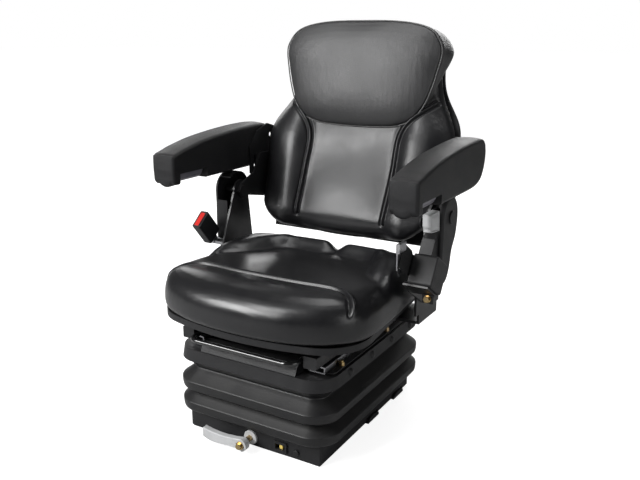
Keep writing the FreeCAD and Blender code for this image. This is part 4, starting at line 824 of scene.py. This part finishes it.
def buildHeadPad(look):
    right = look["outline"]
    whole = right + [(0, look["lowEdge"])] + [(-x, z) for x, z in reversed(right[1:])]
    loop = smoothCurve(whole, 220, closed=True)
    middle = np.array(look["middle"])
    rear, deeper = look["rearFrom"], look["depth"] - look["rearFrom"]
    wrap = np.clip((loop[:, 1] - look["wrapFrom"]) / look["wrapOver"], 0, 1)
    rings = []
    for share in (0.06, 0.2, 0.35, 0.5, 0.64, 0.76, 0.86, 0.93, 0.975):
        flat = middle + (loop - middle) * share
        rings.append(headRing(flat, look["faceAt"] - look["crown"] * (1 - share ** look["crownPower"])))
    rings.append(headRing(loop, look["edgeAt"]))
    for reach, bulge in look["gusset"]:
        rings.append(headRing(middle + (loop - middle) * (1 + bulge / look["bulgeOver"]), reach))
    for share, bulge in look["rear"]:
        grown = middle + (loop - middle) * (1 + bulge / look["bulgeOver"])
        rings.append(headRing(grown, rear + deeper * share * wrap + look["rearMore"] * share))
    last = rings[-1]
    for share in (0.8, 0.55, 0.3, 0.1):
        flat = last.copy()
        flat[:, 0] *= share
        flat[:, 2] = middle[1] + (last[:, 2] - middle[1]) * share
        wrap = np.clip((flat[:, 2] - look["wrapFrom"]) / look["wrapOver"], 0, 1)
        flat[:, 1] = rear + look["rearMore"] + deeper * wrap
        rings.append(flat)
    piece = inflate(ringSurface("headPad", [leanHead(ring) for ring in rings]), look)
    # seam all round where the front panel meets the gusset
    seam = leanHead(headRing(loop, look["seamFrom"])) / 1000
    seam = np.vstack([seam, seam[:1]])
    refineNear(piece, lambda p: distanceTo(seam, p)[0] < look["fineWithin"])
    away = distanceTo(seam, coordinates(piece))[0] * 1000
    pushOut(piece, -look["seamDepth"] * bell(away, look["seamWidth"]))
    return piece, seam


headShape, headSeam = buildHeadPad(headPad)
place(headShape, "backrest", "seat_leather", headVinyl, "head_pad")


def tubeAlong(name, path, radius, sides=8):
    # round tube along a closed path whose last point repeats its first
    path = np.asarray(path)[:-1]
    tangent = closedTangents(path)
    side = path - path.mean(0)
    side -= (side * tangent).sum(1)[:, None] * tangent
    side /= np.linalg.norm(side, axis=1)[:, None]
    up = np.cross(tangent, side)
    points = []
    for at, right, above in zip(path, side, up):
        for k in range(sides):
            turn = 2 * math.pi * k / sides
            points.append(at + radius * (right * math.cos(turn) + above * math.sin(turn)))
    return outward(newObject(name, points, bandFaces(len(path), sides, closed=True)))


pipingLine = headSeam - np.array([0, headPad["pipingAhead"] / 1000, 0])
piping = tubeAlong("headPiping", pipingLine, headPad["pipingRadius"] / 1000)
place(piping, "backrest", "seat_leather", edgePiping)
print("head pad", len(headShape.data.vertices), "points")


# Bellows

bellowsShape = {
    "halfX": 186.0, "halfY": 227.5, "corner": 58.0, "foot": 46.3, "folds": 2, "pitch": 46.6, "wall": 2.4,
    "fold": [(29.5, 0.0), (17.5, 0.6), (9.5, 1.8), (4.2, 3.6), (1.8, 6.2), (0.8, 10.0), (0.2, 17.0),
             (0.0, 23.0), (0.5, 24.2), (2.2, 25.2), (12.0, 32.5), (22.0, 40.5), (27.5, 45.0)],
    "neck": [(29.5, 139.5), (20.0, 148.5), (9.0, 161.5), (7.5, 163.0), (8.6, 168.5)],
    "cornerSteps": 11,
}


def roundedLoop(look, inset, z):
    # rectangle with round corners; every loop has the same number of points
    corner, steps = look["corner"] - inset, look["cornerSteps"]
    wide, deep = look["halfX"] - inset - corner, look["halfY"] - inset - corner
    points = []
    for x, y, start in ((wide, -deep, -90), (wide, deep, 0), (-wide, deep, 90), (-wide, -deep, 180)):
        for step in range(steps + 1):
            turn = math.radians(start + 90 * step / steps)
            points.append((x + corner * math.cos(turn), y + corner * math.sin(turn), z))
    return points


def buildBellows(look):
    profile = []
    for fold in range(look["folds"]):
        level = look["foot"] + fold * look["pitch"]
        profile += [(inset, level + z) for inset, z in look["fold"]]
    profile += look["neck"]
    rings = [roundedLoop(look, inset, z) for inset, z in profile]
    rings += [roundedLoop(look, inset + look["wall"], z) for inset, z in reversed(profile)]
    points = [tuple(c / 1000 for c in p) for ring in rings for p in ring]
    faces = bandFaces(len(rings), len(rings[0]), closed=True)
    piece = outward(newObject("bellowsSleeve", points, faces))
    rounder = piece.modifiers.new("rounder", "SUBSURF")
    rounder.levels = rounder.render_levels = 1
    applyModifiers(piece)
    return piece


bellowsSleeve = buildBellows(bellowsShape)
place(bellowsSleeve, "base", "bellows_rubber", bellowsRubber, "bellows")
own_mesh(bellowsSleeve)
print("bellows", len(bellowsSleeve.data.vertices), "points")


# Armrests

armrest = {
    "outline": [(-119, 551), (-112, 557), (-70, 568), (-20, 577.5), (30, 583.5), (90, 588.5),
                (150, 591.5), (205, 591.5), (222, 588), (232, 579), (237, 562), (235, 542), (225, 519),
                (206, 502), (170, 494.5), (100, 493.5), (0, 493.5), (-60, 492), (-105, 491.5), (-114, 493),
                (-118.5, 500), (-120, 525)],
    "inner": 245.6, "outer": 304.6, "edge": 7.0, "middle": (50.0, 542.0),
    "tight": {0, 1, 8, 9, 18, 19, 20}, "topSwell": 1.6, "crisp": 38.0,
    "window": ((200.0, 350.0), (-99.0, -9.0), (480.0, 515.0)),
    "podX": 273.0, "podZ": 504.0, "podRadius": 17.5, "podFront": -119.0, "podRear": -99.0, "podWide": 1.25,
}


def buildArmrest(name, side, look):
    outline = []
    points = look["outline"]
    for index, here in enumerate(points):
        outline.append(here)
        if index in look["tight"]:
            ahead = points[(index + 1) % len(points)]
            outline.append(((here[0] + ahead[0]) / 2, (here[1] + ahead[1]) / 2))
    plan = smoothCurve(outline, 260, closed=True)
    middle = np.array(look["middle"])
    normal = planNormals(plan, middle)
    radius, inner, outer = look["edge"], look["inner"], look["outer"]
    face = plan - normal * radius
    caps = [middle + (face - middle) * share for share in (0.3, 0.6, 0.85, 0.97)]
    rim = []
    for angle in range(0, 91, 15):
        turn = math.radians(angle)
        rim.append((radius * (1 - math.cos(turn)), plan - normal * radius * (1 - math.sin(turn))))
    rings = [(inner, flat) for flat in caps] + [(inner + depth, flat) for depth, flat in rim]
    for share in (0.25, 0.5, 0.75):
        # the top swells a little between its edges
        swell = look["topSwell"] * math.sin(math.pi * share) * smoothStep(0.2, 0.8, normal[:, 1])
        depth = radius + (outer - inner - 2 * radius) * share
        rings.append((inner + depth, plan + normal * swell[:, None]))
    rings += [(outer - depth, flat) for depth, flat in reversed(rim)]
    rings += [(outer, flat) for flat in reversed(caps)]
    piece = ringSurface(name, [[(side * x, y, z) for y, z in ring] for x, ring in rings])
    spanX, spanY, spanZ = (tuple(value / 1000 for value in span) for span in look["window"])
    box = boxMesh([side * x for x in spanX], spanY, spanZ)
    cutter = outward(newObject(name + "Cutter", *box, smooth=False))
    cut = piece.modifiers.new("window", "BOOLEAN")
    cut.operation = "DIFFERENCE"
    cut.object = cutter
    cut.solver = "FAST"
    applyModifiers(piece)
    bpy.data.objects.remove(cutter, do_unlink=True)
    sharpen(piece, look["crisp"])
    return piece


def boxMesh(spanX, spanY, spanZ):
    corners = [(x, y, z) for x in spanX for y in spanY for z in spanZ]
    return corners, [(0, 1, 3, 2), (4, 6, 7, 5), (0, 4, 5, 1), (2, 3, 7, 6), (0, 2, 6, 4), (1, 5, 7, 3)]


def sharpen(piece, degrees):
    # edges steeper than the angle stay crisp
    work = bmesh.new()
    work.from_mesh(piece.data)
    for edge in work.edges:
        edge.smooth = not (edge.is_manifold and edge.calc_face_angle() > math.radians(degrees))
    work.to_mesh(piece.data)
    work.free()


def buildPod(name, side, look):
    # shallow oval drum under the armrest's front
    rings = []
    radius, front, rear = look["podRadius"], look["podFront"], look["podRear"]
    turns = [2 * math.pi * k / 40 for k in range(40)]
    for y, r in ((front, 4), (front, radius - 6), (front + 1.5, radius - 2.5), (front + 5, radius),
                 (rear - 2, radius), (rear - 0.5, radius - 1.2), (rear, radius - 3), (rear, 4)):
        rings.append([(side * (look["podX"] + look["podWide"] * r * math.cos(turn)), y,
                       look["podZ"] + r * math.sin(turn)) for turn in turns])
    return ringSurface(name, rings)


for side, label in ((1, "right"), (-1, "left")):
    shownArm = buildArmrest("armrest" + label.title(), side, armrest)
    place(shownArm, "armrest_" + label, "black_plastic", armrestFoam, "armrest_" + label)
    pod = buildPod("armrestPod" + label.title(), side, armrest)
    place(pod, "armrest_" + label, "black_plastic", armrestFoam)
print("armrests", len(shownArm.data.vertices), "points each")


# Recline lever

recliner = {
    "grip": [(6, 433), (49, 429), (46, 469), (3, 468)], "gripX": (263.0, 280.0), "gripEdge": 3.0,
    "scoop": 3.2, "scoopHigh": (0.446, 0.438), "scoopDeep": (0.020, 0.008),
    "blade": [(105, 428), (62, 433), (24, 438), (22, 456), (62, 459), (105, 460), (119, 452), (119, 436)],
    "bladeX": (249.2, 253.8), "bladeEdge": 0.8,
    "stem": [(24, 440), (44, 439), (44, 458), (24, 458)], "stemX": (250.0, 266.0), "stemEdge": 1.5,
}


def slab(name, profile, spanX, edge):
    # side profile given a thickness; each face sinks into a rounded groove just inside its rim
    plan = smoothCurve(profile, 120, closed=True)
    middle = plan.mean(0)
    away = plan - middle
    away = away / np.linalg.norm(away, axis=1)[:, None]
    low, high = spanX
    rings = [(low, middle + (plan - away * edge - middle) * share) for share in (0.4, 0.8)]
    for turn in (0, 30, 60, 90):
        c, s = math.cos(math.radians(turn)), math.sin(math.radians(turn))
        rings.append((low + edge * (1 - s), plan - away * edge * c))
    for turn in (90, 60, 30, 0):
        c, s = math.cos(math.radians(turn)), math.sin(math.radians(turn))
        rings.append((high - edge * (1 - s), plan - away * edge * c))
    rings += [(high, middle + (plan - away * edge - middle) * share) for share in (0.8, 0.4)]
    return ringSurface(name, [[(x, y, z) for y, z in ring] for x, ring in rings])


def squareLoop(corners):
    # each corner gives two points close beside it, so that the curve stays tight there
    points = np.array(corners, float)
    ahead, behind = np.roll(points, -1, axis=0), np.roll(points, 1, axis=0)
    near = []
    for point, following, before in zip(points, ahead, behind):
        near += [point + (before - point) * 0.08, point + (following - point) * 0.08]
    return near


grip = slab("leverGrip", squareLoop(recliner["grip"]), recliner["gripX"], recliner["gripEdge"])
points = coordinates(grip)
scooped = smoothStep(*recliner["scoopHigh"], points[:, 2])
scooped = scooped * smoothStep(*recliner["scoopDeep"], points[:, 1])
points[:, 1] += scooped * recliner["scoop"] / 1000
setCoordinates(grip, points)
place(grip, "recline_lever", "grey_plastic", greyPlastic, "recline_lever")
blade = slab("leverBlade", recliner["blade"], recliner["bladeX"], recliner["bladeEdge"])
place(blade, "recline_lever", "black_plastic", mouldedPlastic)
stem = slab("leverStem", squareLoop(recliner["stem"]), recliner["stemX"], recliner["stemEdge"])
place(stem, "recline_lever", "black_plastic", mouldedPlastic)
print("recline lever built")


# Belt strap

strap = {
    "mouth": (259.0, 5.2), "sideX": 251.8, "endY": -48.0, "low": -46.0, "high": 1.5, "mouthHigh": -4.0,
    "widening": (6, 16), "thickness": 1.3, "tilt": -33.0, "place": (-13.0, 397.0), "ribs": 24,
    "ribDepth": 0.07,
}


def buildStrap(look):
    # drawn in the reel's own place: out of its mouth, round the corner and down its inner side
    placeY, placeZ = look["place"]
    mouthX, mouthY = look["mouth"]
    sideX = look["sideX"]
    line = smoothCurve([(mouthX, mouthY), (mouthX - 3.5, mouthY), (sideX + 1.6, mouthY - 0.6),
                        (sideX, mouthY - 3.4), (sideX, -8.0), (sideX, -28.0), (sideX, look["endY"])], 64)
    tangent = np.gradient(line, axis=0)
    tangent /= np.linalg.norm(tangent, axis=1)[:, None]
    side = np.column_stack([tangent[:, 1], -tangent[:, 0]])
    columns = look["ribs"] * 4 + 1
    across = np.linspace(0, 1, columns)
    turn = math.radians(look["tilt"])
    length = np.concatenate([[0], np.cumsum(np.linalg.norm(np.diff(line, axis=0), axis=1))])
    highs = look["mouthHigh"] + (look["high"] - look["mouthHigh"]) * smoothStep(*look["widening"], length)
    selvedge = np.minimum(across, 1 - across) * columns
    thick = look["thickness"] / 2 * np.clip(selvedge / 1.2, 0.25, 1)
    thick = thick + look["ribDepth"] * np.sin(across * look["ribs"] * 2 * math.pi)
    points, faces, places = [], [], []
    for face in (1, -1):
        for i in range(len(line)):
            for k in range(columns):
                x, y = line[i] + side[i] * thick[k] * face
                z = look["low"] + (highs[i] - look["low"]) * across[k]
                points.append((x / 1000, (y * math.cos(turn) - z * math.sin(turn) + placeY) / 1000,
                               (y * math.sin(turn) + z * math.cos(turn) + placeZ) / 1000))
                places.append((length[i] / 1000, z / 1000))
    step = len(line) * columns
    for i in range(len(line) - 1):
        for k in range(columns - 1):
            a = i * columns + k
            faces.append((a, a + 1, a + columns + 1, a + columns))
            faces.append((step + a, step + a + columns, step + a + columns + 1, step + a + 1))
    for i in range(len(line) - 1):
        for k in (0, columns - 1):
            a = i * columns + k
            faces.append((a, a + columns, step + a + columns, step + a))
    for k in range(columns - 1):
        for base in (0, (len(line) - 1) * columns):
            a = base + k
            faces.append((a, step + a, step + a + 1, a + 1))
    piece = newObject("beltStrap", points, faces)
    layer = piece.data.uv_layers.new(name="strapMetres")
    for loop in piece.data.loops:
        layer.data[loop.index].uv = places[loop.vertex_index]
    return outward(piece, weld=0)


beltStrap = buildStrap(strap)
place(beltStrap, "seat", "belt_fabric", webbing, "belt_webbing")
print("strap", len(beltStrap.data.vertices), "points")


# Floor, light and camera

studio = {
    "floorHalf": 30.0, "floorTone": 0.42, "floorSeen": 0.88, "floorGlow": 0.04,
    "surround": 0.07, "backdrop": 1.0, "sunStrength": 1.15, "sunAngle": 16.0, "sunWay": (0.45, 0.75, -1.0),
}
# each soft box: place, point it faces, size and power
softBoxes = {
    "keyLight": ((-1.5, -2.4, 1.7), (0, 0, 0.5), (1.8, 0.9), 98.0),
    "fillLight": ((2.6, -0.6, 1.0), (0, 0, 0.3), (1.4, 1.4), 12.0),
    "topLight": ((0.2, 0.2, 2.6), (0, 0, 0.4), (1.4, 1.4), 22.0),
    "rimLight": ((-2.2, 1.4, 1.6), (0, 0.1, 0.5), (0.8, 1.6), 11.0),
    "backLight": ((-0.8, 2.8, 1.4), (0, 0, 0.5), (2.4, 1.2), 38.0),
}
photoView = {"place": (0.7901, -1.2720, 0.8025), "azimuth": 30.6, "down": 15.7, "lens": 41.57, "sensor": 36.0}


def addToScene(name, data, direction):
    # a light or camera looking along the direction
    made = bpy.data.objects.new(name, data)
    scene.collection.objects.link(made)
    made.rotation_euler = Vector(direction).to_track_quat("-Z", "Y").to_euler()
    return made


def seenAndUnseen(tree, unseen, seen):
    # one strength for the camera's own rays, another for the light that falls on the seat
    ray = tree.nodes.new("ShaderNodeLightPath").outputs["Is Camera Ray"]
    return mapRange(tree, ray, 0, 1, unseen, seen)


def softBox(name, location, target, size, power):
    light = bpy.data.lights.new(name, "AREA")
    light.shape = "RECTANGLE"
    light.size, light.size_y = size
    light.energy = power
    made = addToScene(name, light, Vector(target) - Vector(location))
    made.location = location


half = studio["floorHalf"]
floorCorners = [(-half, -half, 0), (half, -half, 0), (half, half, 0), (-half, half, 0)]
floor = newObject("studioFloor", floorCorners, [(0, 1, 2, 3)], smooth=False)
floorPaint = bpy.data.materials.new("paleFloor")
floorPaint.use_nodes = True
floorTree = floorPaint.node_tree
floorShader = floorTree.nodes["Principled BSDF"]
floorShader.inputs["Base Color"].default_value = (*[studio["floorTone"]] * 3, 1)
floorShader.inputs["Roughness"].default_value = 0.9
floorShader.inputs["Emission Color"].default_value = (1, 1, 1, 1)
floorTree.links.new(seenAndUnseen(floorTree, studio["floorGlow"], studio["floorSeen"]),
                    floorShader.inputs["Emission Strength"])
floor.data.materials.append(floorPaint)

world = bpy.data.worlds.new("studioWorld")
scene.world = world
world.use_nodes = True
sky = world.node_tree.nodes["Background"]
sky.inputs["Color"].default_value = (1, 1, 1, 1)
world.node_tree.links.new(seenAndUnseen(world.node_tree, studio["surround"], studio["backdrop"]),
                          sky.inputs["Strength"])
scene.view_settings.view_transform = "Standard"

sun = bpy.data.lights.new("sunLight", "SUN")
sun.energy = studio["sunStrength"]
sun.angle = math.radians(studio["sunAngle"])
addToScene("sunLight", sun, studio["sunWay"])
for name, box in softBoxes.items():
    softBox(name, *box)

camera = bpy.data.cameras.new("photoCamera")
camera.lens = photoView["lens"]
camera.sensor_width = photoView["sensor"]
azimuth, down = math.radians(photoView["azimuth"]), math.radians(photoView["down"])
flatRun = math.cos(down)
looking = (-math.sin(azimuth) * flatRun, math.cos(azimuth) * flatRun, -math.sin(down))
scene.camera = addToScene("photoCamera", camera, looking)
scene.camera.location = photoView["place"]
print("studio ready")
